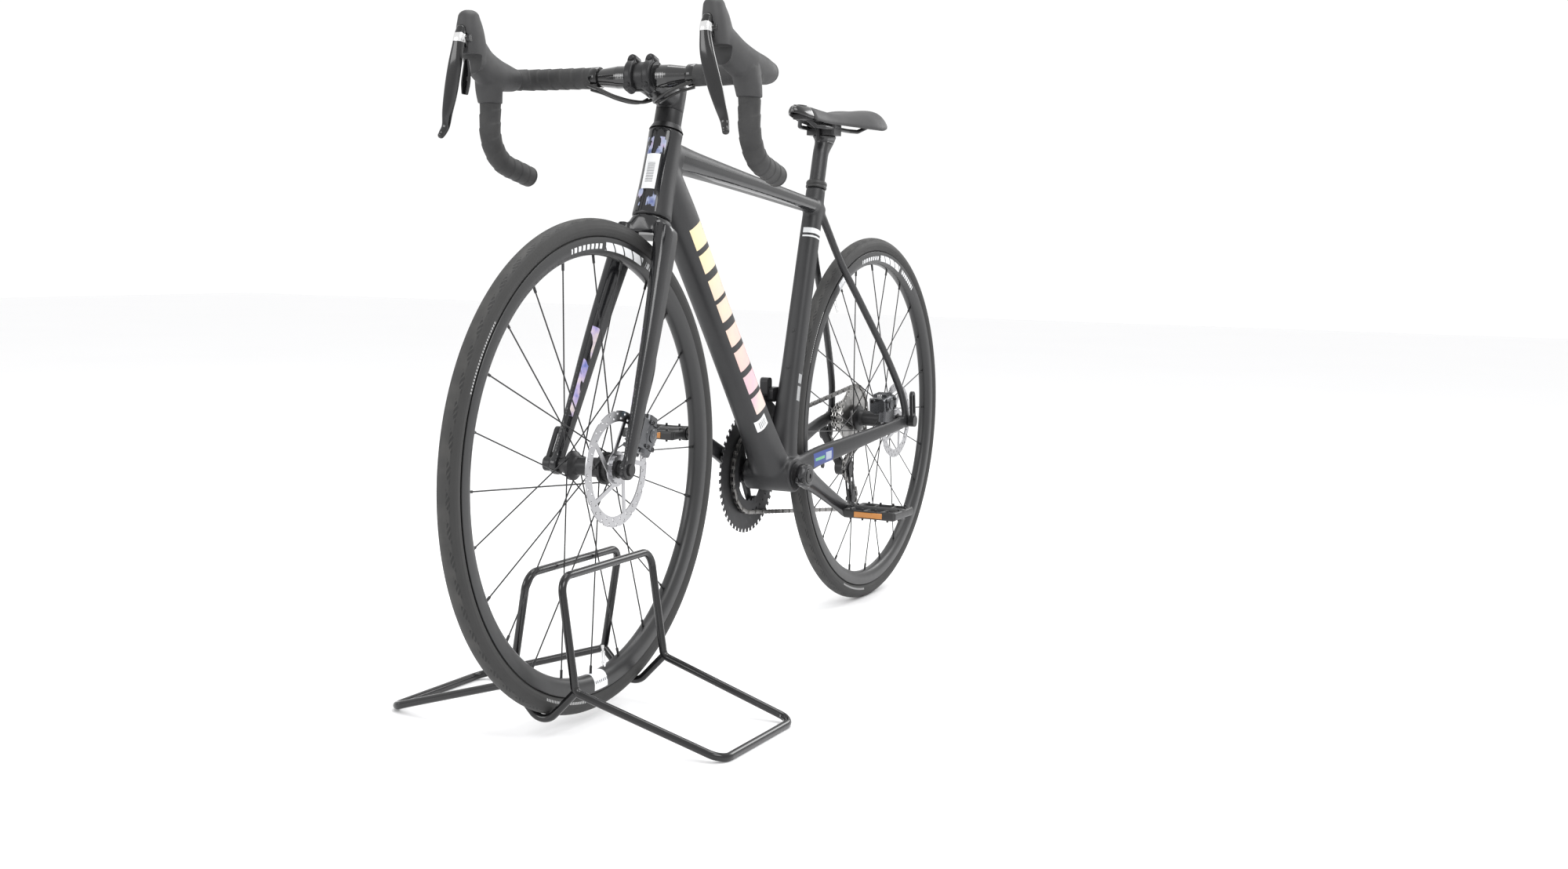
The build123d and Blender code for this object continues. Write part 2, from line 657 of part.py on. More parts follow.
with BuildPart() as paddle:
    add(lofted([
        (LEVER_PIVOT + Vector(-6.5, -4, -34), Vector(0.1, 0.1, -1), 9, 5.5, 2.2),
        (LEVER_PIVOT + Vector(-6.0, -2, -52), Vector(0.05, 0.12, -1), 15, 5, 2.2),
        (LEVER_PIVOT + Vector(-6.5, 2, -74), Vector(0.0, 0.15, -1), 12, 4.5, 2.1),
    ]))
save(paddle.part, "shift_paddle_left")
save(flipped(paddle.part), "shift_paddle_right")

# ---------------------------------------------------------------- hoses
HOSE_R = 2.5


def arc_radii(points):
    """The largest radius at each corner that the shorter of its two runs allows."""
    radii = []
    for before, corner, after in zip(points, points[1:], points[2:]):
        run_in = Vector(*corner) - Vector(*before)
        run_out = Vector(*after) - Vector(*corner)
        half_turn = math.radians(run_in.get_angle(run_out)) / 2
        radii.append(0.45 * min(run_in.length, run_out.length) / math.tan(half_turn))
    return radii


def hose(points, radius=HOSE_R):
    """A hose along hand-set points."""
    return rod(points, arc_radii(points), radius)


with BuildPart() as control_hoses:
    for hose_side in (1, -1):
        add(hose([
            (BAR_X + 15, hose_side * 84, BAR_Z - 10.5),
            (BAR_X + 19, hose_side * 64, BAR_Z - 17),
            (BAR_X + 19, hose_side * 42, BAR_Z - 27),
            (BAR_X + 8, hose_side * 22, BAR_Z - 33.5),
            (BAR_X - 10, hose_side * 9.5, BAR_Z - 35),
            (BAR_X - 30, hose_side * 6.5, BAR_Z - 30),
        ]))
        add(hose([
            (BAR_X + 6, hose_side * 84, BAR_Z - 17),
            (BAR_X + 10, hose_side * 62, BAR_Z - 22.5),
            (BAR_X + 8, hose_side * 41, BAR_Z - 31),
            (BAR_X - 3, hose_side * 25, BAR_Z - 35.5),
            (BAR_X - 17, hose_side * 17, BAR_Z - 35),
            (BAR_X - 33, hose_side * 14, BAR_Z - 28),
        ], 2.0))
    leg_exit = leg_top + (leg_end - leg_top) * 0.47
    add(hose([
        (leg_exit.X - 14, 44, leg_exit.Z),
        (leg_exit.X - 20, 42, leg_exit.Z - 26),
        (leg_exit.X - 17, 40, leg_exit.Z - 52),
        (HUB_F.X - 68, FRONT_ROTOR_Y, HUB_F.Z + 68),
    ]))
save(control_hoses.part, "control_hoses")

# ---------------------------------------------------------------- frame
HEAD_JOIN_DOWN = Vector(307, 0, 762)
HEAD_JOIN_TOP = Vector(303, 0, 786)
SEAT_JOIN_TOP = Vector(-226, 0, 727)
STAY_JOIN = Vector(-229, 0, 716)
DOWN_DIR = (BB - HEAD_JOIN_DOWN).normalized()
TOP_DIR = (SEAT_JOIN_TOP - HEAD_JOIN_TOP).normalized()
BB_HALF = 43.0
BB_SHELL_R = 26.0
BB_BORE = 20.5


def between(start, end, share):
    """A point part of the way from one point to another."""
    return start + (end - start) * share


with BuildPart() as frame:
    with BuildSketch(Plane(origin=steer_point(HEAD_LOW), z_dir=STEER_DIR)):
        Circle(29)
    with BuildSketch(Plane(origin=steer_point(HEAD_LOW + 45), z_dir=STEER_DIR)):
        Circle(25.5)
    with BuildSketch(Plane(origin=steer_point(HEAD_TOP), z_dir=STEER_DIR)):
        Circle(HEAD_R)
    loft()
    add(lofted([
        (between(HEAD_JOIN_DOWN, BB, 0.0), DOWN_DIR, 46, 62, 20),
        (between(HEAD_JOIN_DOWN, BB, 0.16), DOWN_DIR, 48, 62, 19),
        (between(HEAD_JOIN_DOWN, BB, 0.40), DOWN_DIR, 46, 52, 18),
        (between(HEAD_JOIN_DOWN, BB, 0.80), DOWN_DIR, 50, 54, 18),
        (between(HEAD_JOIN_DOWN, BB, 1.0), DOWN_DIR, 70, 50, 18),
    ]))
    add(lofted([
        (between(HEAD_JOIN_TOP, SEAT_JOIN_TOP, 0.0), TOP_DIR, 44, 46, 16),
        (between(HEAD_JOIN_TOP, SEAT_JOIN_TOP, 0.16), TOP_DIR, 44, 36, 13),
        (between(HEAD_JOIN_TOP, SEAT_JOIN_TOP, 0.5), TOP_DIR, 44, 29, 11),
        (between(HEAD_JOIN_TOP, SEAT_JOIN_TOP, 0.9), TOP_DIR, 37, 24, 10),
        (between(HEAD_JOIN_TOP, SEAT_JOIN_TOP, 1.0), TOP_DIR, 33, 24, 10),
    ]))
    add(lofted([
        (seat_point(286), SEAT_DIR, 60, 46, 16),
        (seat_point(350), SEAT_DIR, 44, 40, 15),
        (seat_point(440), SEAT_DIR, 34, 37, 14),
        (seat_point(700), SEAT_DIR, 32.5, 34, 15),
        (seat_point(SEAT_TOP.Z), SEAT_DIR, 33, 33, 16.3),
    ]))
    with BuildSketch(across(BB, -BB_HALF)):
        Circle(BB_SHELL_R + 3)
    extrude(amount=2 * BB_HALF)
    for stay_side in (1, -1):
        drop = Vector(HUB_R.X, stay_side * 76, HUB_R.Z)
        seat_stay = [
            (STAY_JOIN + Vector(6, stay_side * 8, 4), Vector(-0.55, 0, -0.8), 15, 17, 7),
            (Vector(-290, stay_side * 24, 634), Vector(-0.62, 0, -0.78), 13, 14, 6),
            (Vector(-424, stay_side * 55, 475), Vector(-0.6, 0, -0.8), 12, 14, 5.8),
            (Vector(-484, stay_side * 71, 389), Vector(-0.42, 0, -0.9), 12, 15, 5.8),
            (Vector(HUB_R.X, stay_side * 76, HUB_R.Z + 6), Vector(-0.2, 0, -1), 10, 19, 4.8),
        ]
        add(lofted(seat_stay))
        chain_stay = [
            (Vector(BB_X + 2, stay_side * 19, BB_Z), Vector(-1, 0, 0.1), 32, 44, 14),
            (Vector(-150, stay_side * 27, 291), Vector(-1, 0, 0.12), 15, 38, 7),
            (Vector(-200, stay_side * 34, 301), Vector(-1, 0, 0.12), 14, 35, 6.5),
            (Vector(-260, stay_side * 45, 309), Vector(-1, 0, 0.12), 13, 32, 6),
            (Vector(-400, stay_side * 67, 328), Vector(-1, 0, 0.12), 12, 24, 5.5),
            (Vector(HUB_R.X + 2, stay_side * 76, HUB_R.Z), Vector(-1, 0, 0.1), 10, 22, 4.8),
        ]
        add(lofted(chain_stay))
        with BuildSketch(across(drop, stay_side * REAR_OLD / 2)):
            Circle(13)
        extrude(amount=stay_side * 11.0)
    with BuildSketch(across(HUB_R, -REAR_OLD / 2)):
        Rectangle(52, 60)
    extrude(amount=REAR_OLD, mode=Mode.SUBTRACT)
    with BuildSketch(across(between(HUB_R, KNUCKLE, 0.5), -80.8)):
        SlotCenterToCenter(KNUCKLE_DROP, 18, rotation=90)
    extrude(amount=7.0)
    with BuildSketch(across(HUB_R, -90)):
        Circle(AXLE_R)
    extrude(amount=180, mode=Mode.SUBTRACT)
    with BuildSketch(across(BB, -60)):
        Circle(BB_BORE)
    extrude(amount=120, mode=Mode.SUBTRACT)
    with BuildSketch(Plane(origin=steer_point(HEAD_LOW - 30), z_dir=STEER_DIR)):
        Circle(STEERER_R + 1.2)
    extrude(amount=220, mode=Mode.SUBTRACT)
    for start, depth, bore in ((HEAD_LOW - 1, 9.5, LOW_BEARING_R), (HEAD_TOP + 1, -9.5, BEARING_R)):
        with BuildSketch(Plane(origin=steer_point(start), z_dir=STEER_DIR)):
            Circle(bore + RUN_FIT)
        extrude(amount=depth, mode=Mode.SUBTRACT)
    with BuildSketch(Plane(origin=SEAT_TOP + SEAT_DIR * 10, z_dir=SEAT_DIR)):
        Circle(POST_R + RUN_FIT)
    extrude(amount=-(POST_BELOW + 50), mode=Mode.SUBTRACT)
    seat_normal = Vector(SEAT_DIR.Z, 0, -SEAT_DIR.X)
    for along in (0.0, -BOSS_PITCH):
        boss_root = seat_point(BOSS_Z) + SEAT_DIR * along + seat_normal * 8
        with BuildSketch(Plane(origin=boss_root, z_dir=seat_normal)):
            Circle(BOSS_R)
        extrude(amount=20, mode=Mode.SUBTRACT)
save(frame.part, "frame")


# ---------------------------------------------------------------- seat post and collar
with BuildPart() as seat_collar:
    with BuildSketch(Plane(origin=SEAT_TOP + SEAT_DIR * 0.2, z_dir=SEAT_DIR)):
        Circle(18.2)
        Circle(POST_R + GAP, mode=Mode.SUBTRACT)
    extrude(amount=13.0)
    fillet(seat_collar.edges().filter_by(GeomType.CIRCLE).group_by(SortBy.RADIUS)[-1], 3.5)
    with BuildSketch(Plane(origin=SEAT_TOP + SEAT_DIR * 4.0 + Vector(-21.0, 0, 0), z_dir=(0, 1, 0))):
        Circle(4.2)
    extrude(amount=8.0, both=True)
save(seat_collar.part, "seat_collar")

POST_TOP = seat_point(POST_HEAD_Z)
with BuildPart() as seatpost:
    with BuildSketch(Plane(origin=SEAT_TOP - SEAT_DIR * POST_BELOW, z_dir=SEAT_DIR)):
        Circle(POST_R)
    extrude(amount=POST_BELOW + (POST_TOP - SEAT_TOP).length - 6)
    add(lofted([
        (seat_point(POST_HEAD_Z - 34) + Vector(-1, 0, 0), SEAT_DIR, 26, 26, 12.5),
        (POST_TOP + Vector(-6, 0, -14), Vector(-0.1, 0, 1), 28, 40, 11),
        (POST_TOP + Vector(-6, 0, 0), Vector(0, 0, 1), 32, 56, 9),
    ]))
save(seatpost.part, "seatpost")

RAIL_Z = POST_HEAD_Z + 11.5
RAIL_Y = 22.0
RAIL_R = 3.5
CLAMP_X = POST_TOP.X - 4
with BuildPart() as saddle_clamp:
    with BuildSketch(Plane(origin=(CLAMP_X, 0, POST_HEAD_Z + 0.05))):
        RectangleRounded(40, 52, 6)
    extrude(amount=RAIL_Z - POST_HEAD_Z - 0.6)
    with BuildSketch(Plane(origin=(CLAMP_X, 0, RAIL_Z + 0.6))):
        RectangleRounded(36, 54, 6)
    extrude(amount=6.0)
    for dx in (-25.0, 25.0):
        with BuildSketch(Plane(origin=(CLAMP_X + dx, 0, POST_HEAD_Z - 9))):
            Circle(3.0)
        extrude(amount=30.0)
        with BuildSketch(Plane(origin=(CLAMP_X + dx, 0, RAIL_Z + 4))):
            SlotOverall(20, 10, rotation=90)
        extrude(amount=7.0)
    for rail_side in (1, -1):
        with BuildSketch(Plane(origin=(CLAMP_X - 40, rail_side * RAIL_Y, RAIL_Z), z_dir=(1, 0, 0))):
            Circle(RAIL_R)
        extrude(amount=80, mode=Mode.SUBTRACT)
save(saddle_clamp.part, "saddle_clamp")

SADDLE_NOSE_X = -132.0
SADDLE_TAIL_X = -402.0
rail_route = [
    (SADDLE_NOSE_X - 42, 5, RAIL_Z + 13),
    (SADDLE_NOSE_X - 62, 15, RAIL_Z),
    (SADDLE_NOSE_X - 84, RAIL_Y, RAIL_Z),
    (SADDLE_TAIL_X + 84, RAIL_Y, RAIL_Z),
    (SADDLE_TAIL_X + 62, 30, RAIL_Z),
    (SADDLE_TAIL_X + 34, 44, RAIL_Z + 13),
]
save(both_sides(rod(rail_route, [6.0, 14.0, 14.0, 6.0], RAIL_R)), "saddle_rails")

saddle_shape = (
    (SADDLE_NOSE_X, 20, 894, 10), (SADDLE_NOSE_X - 18, 33, 895, 17),
    (SADDLE_NOSE_X - 60, 42, 894, 22), (SADDLE_NOSE_X - 110, 54, 892, 25),
    (SADDLE_NOSE_X - 150, 78, 893, 30), (SADDLE_NOSE_X - 200, 124, 899, 36),
    (SADDLE_TAIL_X + 34, 143, 904, 38), (SADDLE_TAIL_X, 116, 903, 30),
)


def saddle_slice(x, width, top, depth):
    """A cross-section of the saddle: domed above, hollowed below."""
    half = width / 2
    plane = Plane(origin=(x, 0, top), x_dir=(0, 1, 0), z_dir=(1, 0, 0))
    with BuildSketch(plane) as slice_sketch:
        with BuildLine():
            Spline(
                (-half, -depth * 0.8), (-half * 0.93, -depth * 0.34), (0, 0),
                (half * 0.93, -depth * 0.34), (half, -depth * 0.8))
            Spline(
                (half, -depth * 0.8), (half * 0.5, -depth * 0.72), (0, -depth * 0.6),
                (-half * 0.5, -depth * 0.72), (-half, -depth * 0.8))
        make_face()
    return slice_sketch.sketch


with BuildPart() as saddle_cover:
    for x, width, top, depth in saddle_shape:
        add(saddle_slice(x, width, top, depth))
    loft()
save(saddle_cover.part, "saddle_cover")

with BuildPart() as saddle_sockets:
    with BuildSketch(Plane(origin=(SADDLE_NOSE_X - 44, 0, RAIL_Z + 9))):
        RectangleRounded(44, 24, 8)
    extrude(amount=8.0)
    for pad_side in (1, -1):
        with BuildSketch(Plane(origin=(SADDLE_TAIL_X + 36, pad_side * 44, RAIL_Z + 8.5))):
            RectangleRounded(30, 20, 7)
        extrude(amount=9.0)
save(saddle_sockets.part, "saddle_sockets")

# ---------------------------------------------------------------- bottom bracket and cranks
CRANK_AXLE_R = 12.0
ARM_DIR = Vector(-math.cos(math.radians(CRANK_ANGLE)), 0, -math.sin(math.radians(CRANK_ANGLE)))
with BuildPart() as bottom_bracket_cups:
    for cup_side in (1, -1):
        with BuildSketch(across(BB, cup_side * (BB_HALF - 12))):
            Circle(BB_BORE - 0.02)
            Circle(CRANK_AXLE_R + RUN_FIT, mode=Mode.SUBTRACT)
        extrude(amount=cup_side * 12.0)
        with BuildSketch(across(BB, cup_side * (BB_HALF + 0.05))):
            Circle(22.5)
            Circle(CRANK_AXLE_R + RUN_FIT, mode=Mode.SUBTRACT)
        extrude(amount=cup_side * 2.5)
save(bottom_bracket_cups.part, "bottom_bracket_cups")


def crank_arm(side):
    """A forged arm, thick at the axle and slim at the pedal."""
    direction = ARM_DIR * side
    pedal_eye = BB + direction * CRANK_LENGTH
    with BuildPart() as body:
        with BuildSketch(across(BB, side * 50.0)):
            Circle(19.0)
        extrude(amount=side * 17.5)
        add(lofted([
            (BB + Vector(0, side * 58.5, 0), direction, 16.5, 36, 7),
            (BB + direction * 60 + Vector(0, side * 60.5, 0), direction, 14.5, 29, 6),
            (BB + direction * 130 + Vector(0, side * 64, 0), direction, 13.5, 25, 5.5),
            (BB + direction * (CRANK_LENGTH + 4) + Vector(0, side * 66.2, 0), direction, 13.0, 24, 5.5),
        ]))
        with BuildSketch(across(pedal_eye, side * 59.5)):
            Circle(14.0)
        extrude(amount=side * 13.5)
        if side > 0:
            with BuildSketch(across(BB, 40.0)):
                Circle(CRANK_AXLE_R)
            extrude(amount=40.0, mode=Mode.SUBTRACT)
        with BuildSketch(across(pedal_eye, side * 50.0)):
            Circle(7.0)
        extrude(amount=side * 40.0, mode=Mode.SUBTRACT)
        if side > 0:
            gap_plane = Plane(origin=BB - direction * 14, x_dir=direction, z_dir=(0, 1, 0))
            with BuildSketch(gap_plane.offset(45)):
                Rectangle(14, 2.0)
            extrude(amount=30, mode=Mode.SUBTRACT)
        else:
            for number in range(4):
                angle = math.radians(45 + 90 * number + CRANK_ANGLE)
                arm_dir = Vector(math.cos(angle), 0, math.sin(angle))
                arm_root = BB + arm_dir * 8 + Vector(0, -53.8, 0)
                with BuildSketch(Plane(origin=arm_root, x_dir=(0, 1, 0), z_dir=arm_dir)):
                    RectangleRounded(6.0, 26, 2)
                arm_end = BB + arm_dir * 61 + Vector(0, -52.4, 0)
                with BuildSketch(Plane(origin=arm_end, x_dir=(0, 1, 0), z_dir=arm_dir)):
                    RectangleRounded(3.2, 14, 1.2)
                loft()
    return body.part


save(crank_arm(1), "crank_left")

with BuildPart() as crank_right:
    add(crank_arm(-1))
    with BuildSketch(across(BB, -67.5)):
        Circle(CRANK_AXLE_R)
    extrude(amount=134.5)
    with BuildSketch(across(BB, -69.0)):
        Circle(9.5)
    extrude(amount=140.0, mode=Mode.SUBTRACT)
save(crank_right.part, "crank_right")

with BuildPart() as crank_bolts:
    for reach in (-9.0, 9.0):
        foot = BB + ARM_DIR * -14.0 + Vector(0, 58.5 + reach * 0.45, 0)
        turn = Vector(-ARM_DIR.Z, 0, ARM_DIR.X)
        with BuildSketch(Plane(origin=foot + turn * 12.2, z_dir=turn)):
            Circle(2.9)
        extrude(amount=6.0)
    with BuildSketch(across(BB, 66.7)):
        Circle(11.0)
        Circle(4.0, mode=Mode.SUBTRACT)
    extrude(amount=2.4)
    for number in range(4):
        angle = math.radians(45 + 90 * number - CRANK_ANGLE)
        spot = BB + Vector(-math.cos(angle), 0, math.sin(angle)) * 54
        with BuildSketch(across(spot, RING_Y[1] - 2.6)):
            Circle(3.95)
        extrude(amount=9.4)
save(crank_bolts.part, "crank_bolts")


def toothed_disc(centre, y_middle, thickness, teeth, inner):
    """A sprocket plate whose tooth gaps are roller seats on the pitch circle."""
    pitch_r = pitch_radius(teeth)
    with BuildPart() as body:
        with BuildSketch(across(centre, y_middle - thickness / 2)):
            Circle(pitch_r + 2.6)
            with PolarLocations(pitch_r, teeth):
                Circle(3.97, mode=Mode.SUBTRACT)
            Circle(inner, mode=Mode.SUBTRACT)
        extrude(amount=thickness)
    return body.part


with BuildPart() as inner_chainring:
    add(toothed_disc(BB, RING_Y[0], 1.7, RING_TEETH[0], 50.0))
    with BuildSketch(across(BB, RING_Y[0] - 3.0)):
        for number in range(4):
            angle = 45 + 90 * number - CRANK_ANGLE
            with Locations(Rot(0, 0, angle) * Location((54, 0, 0))):
                Circle(8.0)
                Circle(4.0, mode=Mode.SUBTRACT)
    extrude(amount=4.0)
save(inner_chainring.part, "inner_chainring")

with BuildPart() as outer_chainring:
    add(toothed_disc(BB, RING_Y[1], 2.0, RING_TEETH[1], 78.0))
    with BuildSketch(across(BB, RING_Y[1] - 3.6)):
        Circle(91)
        Circle(62, mode=Mode.SUBTRACT)
        for number in range(4):
            angle = 45 + 90 * number - CRANK_ANGLE
            with Locations(Rot(0, 0, angle) * Location((57, 0, 0))):
                Circle(10.0)
        for number in range(4):
            angle = 45 + 90 * number - CRANK_ANGLE
            with Locations(Rot(0, 0, angle) * Location((54, 0, 0))):
                Circle(4.0, mode=Mode.SUBTRACT)
    extrude(amount=4.6)
save(outer_chainring.part, "outer_chainring")

# ---------------------------------------------------------------- cassette
FREEHUB_R = 16.8
with BuildPart() as freehub:
    with BuildSketch(across(HUB_R, -66.0)):
        Circle(FREEHUB_R)
        Circle(SPINDLE_R + RUN_FIT, mode=Mode.SUBTRACT)
    extrude(amount=42.3)
save(freehub.part, "freehub_body")

with BuildPart() as cassette:
    for number, teeth in enumerate(COG_TEETH):
        add(toothed_disc(HUB_R, COG_Y - COG_PITCH_Y * number, 1.7, teeth, FREEHUB_R))
    for start, radius, y_low in ((-46, 33, 17.0), (-56, 26, 12.0), (-66.5, 19.4, 12.0)):
        with BuildSketch(across(HUB_R, start)):
            Circle(radius)
            Circle(FREEHUB_R, mode=Mode.SUBTRACT)
        extrude(amount=y_low)
save(cassette.part, "cassette")

# ---------------------------------------------------------------- derailleur pulleys
CHAIN_REAR_Y = COG_Y
PULLEY_BORE = 2.6


def pulley(centre):
    """A toothed jockey wheel on a bush."""
    with BuildPart() as body:
        add(toothed_disc(centre, CHAIN_REAR_Y, 2.0, PULLEY_TEETH, PULLEY_BORE))
        with BuildSketch(across(centre, CHAIN_REAR_Y - 3.0)):
            Circle(8.0)
            Circle(PULLEY_BORE, mode=Mode.SUBTRACT)
        extrude(amount=6.0)
        with BuildSketch(across(centre, CHAIN_REAR_Y - 5)):
            with PolarLocations(12.2, 5):
                Circle(2.6)
        extrude(amount=10, mode=Mode.SUBTRACT)
    return body.part


save(pulley(GUIDE), "guide_pulley")
save(pulley(TENSION), "tension_pulley")

cage_dir = (TENSION - GUIDE).normalized()
with BuildPart() as rear_derailleur_cage:
    for plate_y in (CHAIN_REAR_Y + 3.6, CHAIN_REAR_Y - 5.2):
        middle = between(GUIDE, TENSION, 0.5) + Vector(0, plate_y, 0)
        plane = Plane(origin=middle, x_dir=cage_dir, z_dir=(0, 1, 0))
        with BuildSketch(plane):
            SlotCenterToCenter((TENSION - GUIDE).length, 19)
            SlotCenterToCenter(22, 8, mode=Mode.SUBTRACT)
        extrude(amount=1.6)
    for axle in (GUIDE, TENSION):
        with BuildSketch(across(axle, CHAIN_REAR_Y - 5.4)):
            Circle(PULLEY_BORE - RUN_FIT)
        extrude(amount=10.8)
save(rear_derailleur_cage.part, "rear_derailleur_cage")

with BuildPart() as rear_derailleur_body:
    with BuildSketch(across(KNUCKLE, -81.0)):
        Circle(12.5)
    extrude(amount=-14.0)
    with BuildSketch(across(GUIDE, CHAIN_REAR_Y - 5.6)):
        Circle(15.0)
    extrude(amount=-17.0)
    link_dir = (GUIDE + Vector(0, -44, 6)) - (KNUCKLE + Vector(0, -87, -6))
    add(lofted([
        (KNUCKLE + Vector(4, -87, -2), link_dir, 17, 24, 5),
        (KNUCKLE + Vector(6, -74, -22), link_dir, 16, 28, 5),
        (GUIDE + Vector(0, -44, 2), link_dir, 16, 24, 5),
    ]))
save(rear_derailleur_body.part, "rear_derailleur_body")

# ---------------------------------------------------------------- front derailleur
def ring_sector(y_from, thickness, inner, outer, angle_from, angle_to):
    """A flat plate between two radii about the bottom bracket, between two angles from +X."""
    plane = Plane(origin=(BB.X, y_from, BB.Z), x_dir=(1, 0, 0), z_dir=(0, -1, 0))
    with BuildPart() as body:
        with BuildSketch(plane):
            with BuildLine():
                first = CenterArc((0, 0), inner, angle_from, angle_to - angle_from)
                second = CenterArc((0, 0), outer, angle_from, angle_to - angle_from)
                Line(first @ 0, second @ 0)
                Line(first @ 1, second @ 1)
            make_face()
        extrude(amount=thickness)
    return body.part


with BuildPart() as front_derailleur_cage:
    add(ring_sector(-32.6, 1.3, 86, 129, 84, 132))
    add(ring_sector(-51.2, 1.3, 108, 128, 80, 128))
    add(ring_sector(-32.6, 19.9, 127, 129, 112, 127))

FD_MOUNT_Z = 408.0
with BuildPart() as front_derailleur:
    add(front_derailleur_cage.part)
    with BuildSketch(Plane(origin=(seat_point(FD_MOUNT_Z).X + 4, -20.0, FD_MOUNT_Z), z_dir=(0, -1, 0))):
        RectangleRounded(24, 36, 6)
    extrude(amount=16.0)
    with BuildSketch(Plane(origin=(seat_point(FD_MOUNT_Z).X + 18, -28, FD_MOUNT_Z + 12), z_dir=(0, -1, 0))):
        RectangleRounded(34, 18, 7)
    extrude(amount=14.0)
save(front_derailleur.part, "front_derailleur")

# ---------------------------------------------------------------- chain
def tangent_angle(start, start_r, end, end_r, turn):
    """The angle of the radius to the tangent line from one circle to another (radii signed)."""
    run = end - start
    base = math.atan2(run.Z, run.X)
    return base + turn * math.acos((start_r - end_r) / math.hypot(run.X, run.Z))


def at_angle(centre, radius, angle, y):
    """A point on a circle in the wheel plane."""
    return Vector(centre.X + radius * math.cos(angle), y, centre.Z + radius * math.sin(angle))


RING_R = pitch_radius(RING_TEETH[0])
COG_R = pitch_radius(COG_TEETH[0])
PULLEY_R = pitch_radius(PULLEY_TEETH)
top_angle = tangent_angle(BB, RING_R, HUB_R, COG_R, -1)
low_angle = tangent_angle(BB, RING_R, TENSION, PULLEY_R, 1)
cross_angle = tangent_angle(TENSION, PULLEY_R, GUIDE, -PULLEY_R, 1)
feed_angle = tangent_angle(GUIDE, -PULLEY_R, HUB_R, COG_R, 1)


def arc_plate(centre, radius, angle_from, angle_to, y_low):
    """One side plate of the chain where it wraps a wheel."""
    plane = Plane(origin=(centre.X, y_low + PLATE_T, centre.Z), x_dir=(1, 0, 0), z_dir=(0, -1, 0))
    half = PLATE_HEIGHT / 2
    with BuildPart() as body:
        with BuildSketch(plane):
            with BuildLine():
                sweep_angle = math.degrees(angle_to - angle_from)
                inner = CenterArc((0, 0), radius - half, math.degrees(angle_from), sweep_angle)
                outer = CenterArc((0, 0), radius + half, math.degrees(angle_from), sweep_angle)
                Line(inner @ 0, outer @ 0)
                Line(inner @ 1, outer @ 1)
            make_face()
        extrude(amount=PLATE_T)
    return body.part


def run_plate(start, end, shift):
    """One side plate of the chain along a straight run."""
    run = end - start
    foot = start + Vector(0, shift, 0) - run.normalized() * 0.6
    with BuildPart() as body:
        with BuildSketch(Plane(origin=foot, x_dir=(0, 1, 0), z_dir=run)):
            Rectangle(PLATE_T, PLATE_HEIGHT)
        extrude(amount=run.length + 1.2)
    return body.part


TAU = 2 * math.pi
with BuildPart() as chain:
    for plate_side in (1, -1):
        shift = plate_side * (PLATE_OFFSET + PLATE_T / 2)
        low = shift - PLATE_T / 2
        add(arc_plate(BB, RING_R, low_angle, top_angle, RING_Y[0] + low))
        add(arc_plate(HUB_R, COG_R, top_angle, feed_angle, COG_Y + low))
        add(arc_plate(TENSION, PULLEY_R, cross_angle - TAU, low_angle, COG_Y + low))
        add(arc_plate(GUIDE, PULLEY_R, cross_angle - math.pi, feed_angle - math.pi, COG_Y + low))
        for start, end in (
            (at_angle(BB, RING_R, top_angle, RING_Y[0]), at_angle(HUB_R, COG_R, top_angle, COG_Y)),
            (at_angle(BB, RING_R, low_angle, RING_Y[0]), at_angle(TENSION, PULLEY_R, low_angle, COG_Y)),
            (at_angle(TENSION, PULLEY_R, cross_angle, COG_Y), at_angle(GUIDE, -PULLEY_R, cross_angle, COG_Y)),
            (at_angle(GUIDE, -PULLEY_R, feed_angle, COG_Y), at_angle(HUB_R, COG_R, feed_angle, COG_Y)),
        ):
            add(run_plate(start, end, shift))
save(chain.part, "chain")

# ---------------------------------------------------------------- pedals
PEDAL_EYE = BB + ARM_DIR * CRANK_LENGTH
PEDAL_Y = Q_HALF + 56.0
PEDAL_AXLE_R = 4.5


def pedal(side, eye):
    """A platform pedal with two windows, an axle barrel, traction pins and two reflectors."""
    middle = Vector(eye.X, side * PEDAL_Y, eye.Z)
    with BuildPart() as body:
        with BuildSketch(Plane(origin=middle - Vector(0, 0, 7.5))):
            RectangleRounded(94, 98, 15)
            for dx in (27.5, -27.5):
                with Locations((dx, 0)):
                    RectangleRounded(25, 72, 6, mode=Mode.SUBTRACT)
        extrude(amount=15)
        with BuildSketch(Plane(origin=middle - Vector(0, 49, 0), z_dir=(0, 1, 0))):
            Circle(10.5)
        extrude(amount=98)
        with BuildSketch(Plane(origin=middle - Vector(0, 0, 10.5))):
            with GridLocations(82, 34, 2, 3):
                Circle(1.9)
            with GridLocations(28, 84, 2, 2):
                Circle(1.9)
        extrude(amount=21)
        with BuildSketch(Plane(origin=middle - Vector(0, side * 60, 0), z_dir=(0, side, 0))):
            Circle(PEDAL_AXLE_R + RUN_FIT)
        extrude(amount=100, mode=Mode.SUBTRACT)
        for end in (1, -1):
            edge = middle + Vector(end * 47.5, 0, 0)
            with BuildSketch(Plane(origin=edge, x_dir=(0, 1, 0), z_dir=(-end, 0, 0))):
                Rectangle(52, 10)
            extrude(amount=3.2, mode=Mode.SUBTRACT)
            glass = edge - Vector(end * 0.6, 0, 0)
            with BuildSketch(Plane(origin=glass, x_dir=(0, 1, 0), z_dir=(-end, 0, 0))):
                Rectangle(51.6, 9.6)
            extrude(amount=2.5)
    return body.part


save(pedal(1, PEDAL_EYE), "pedal_left")
save(pedal(-1, BB - ARM_DIR * CRANK_LENGTH), "pedal_right")

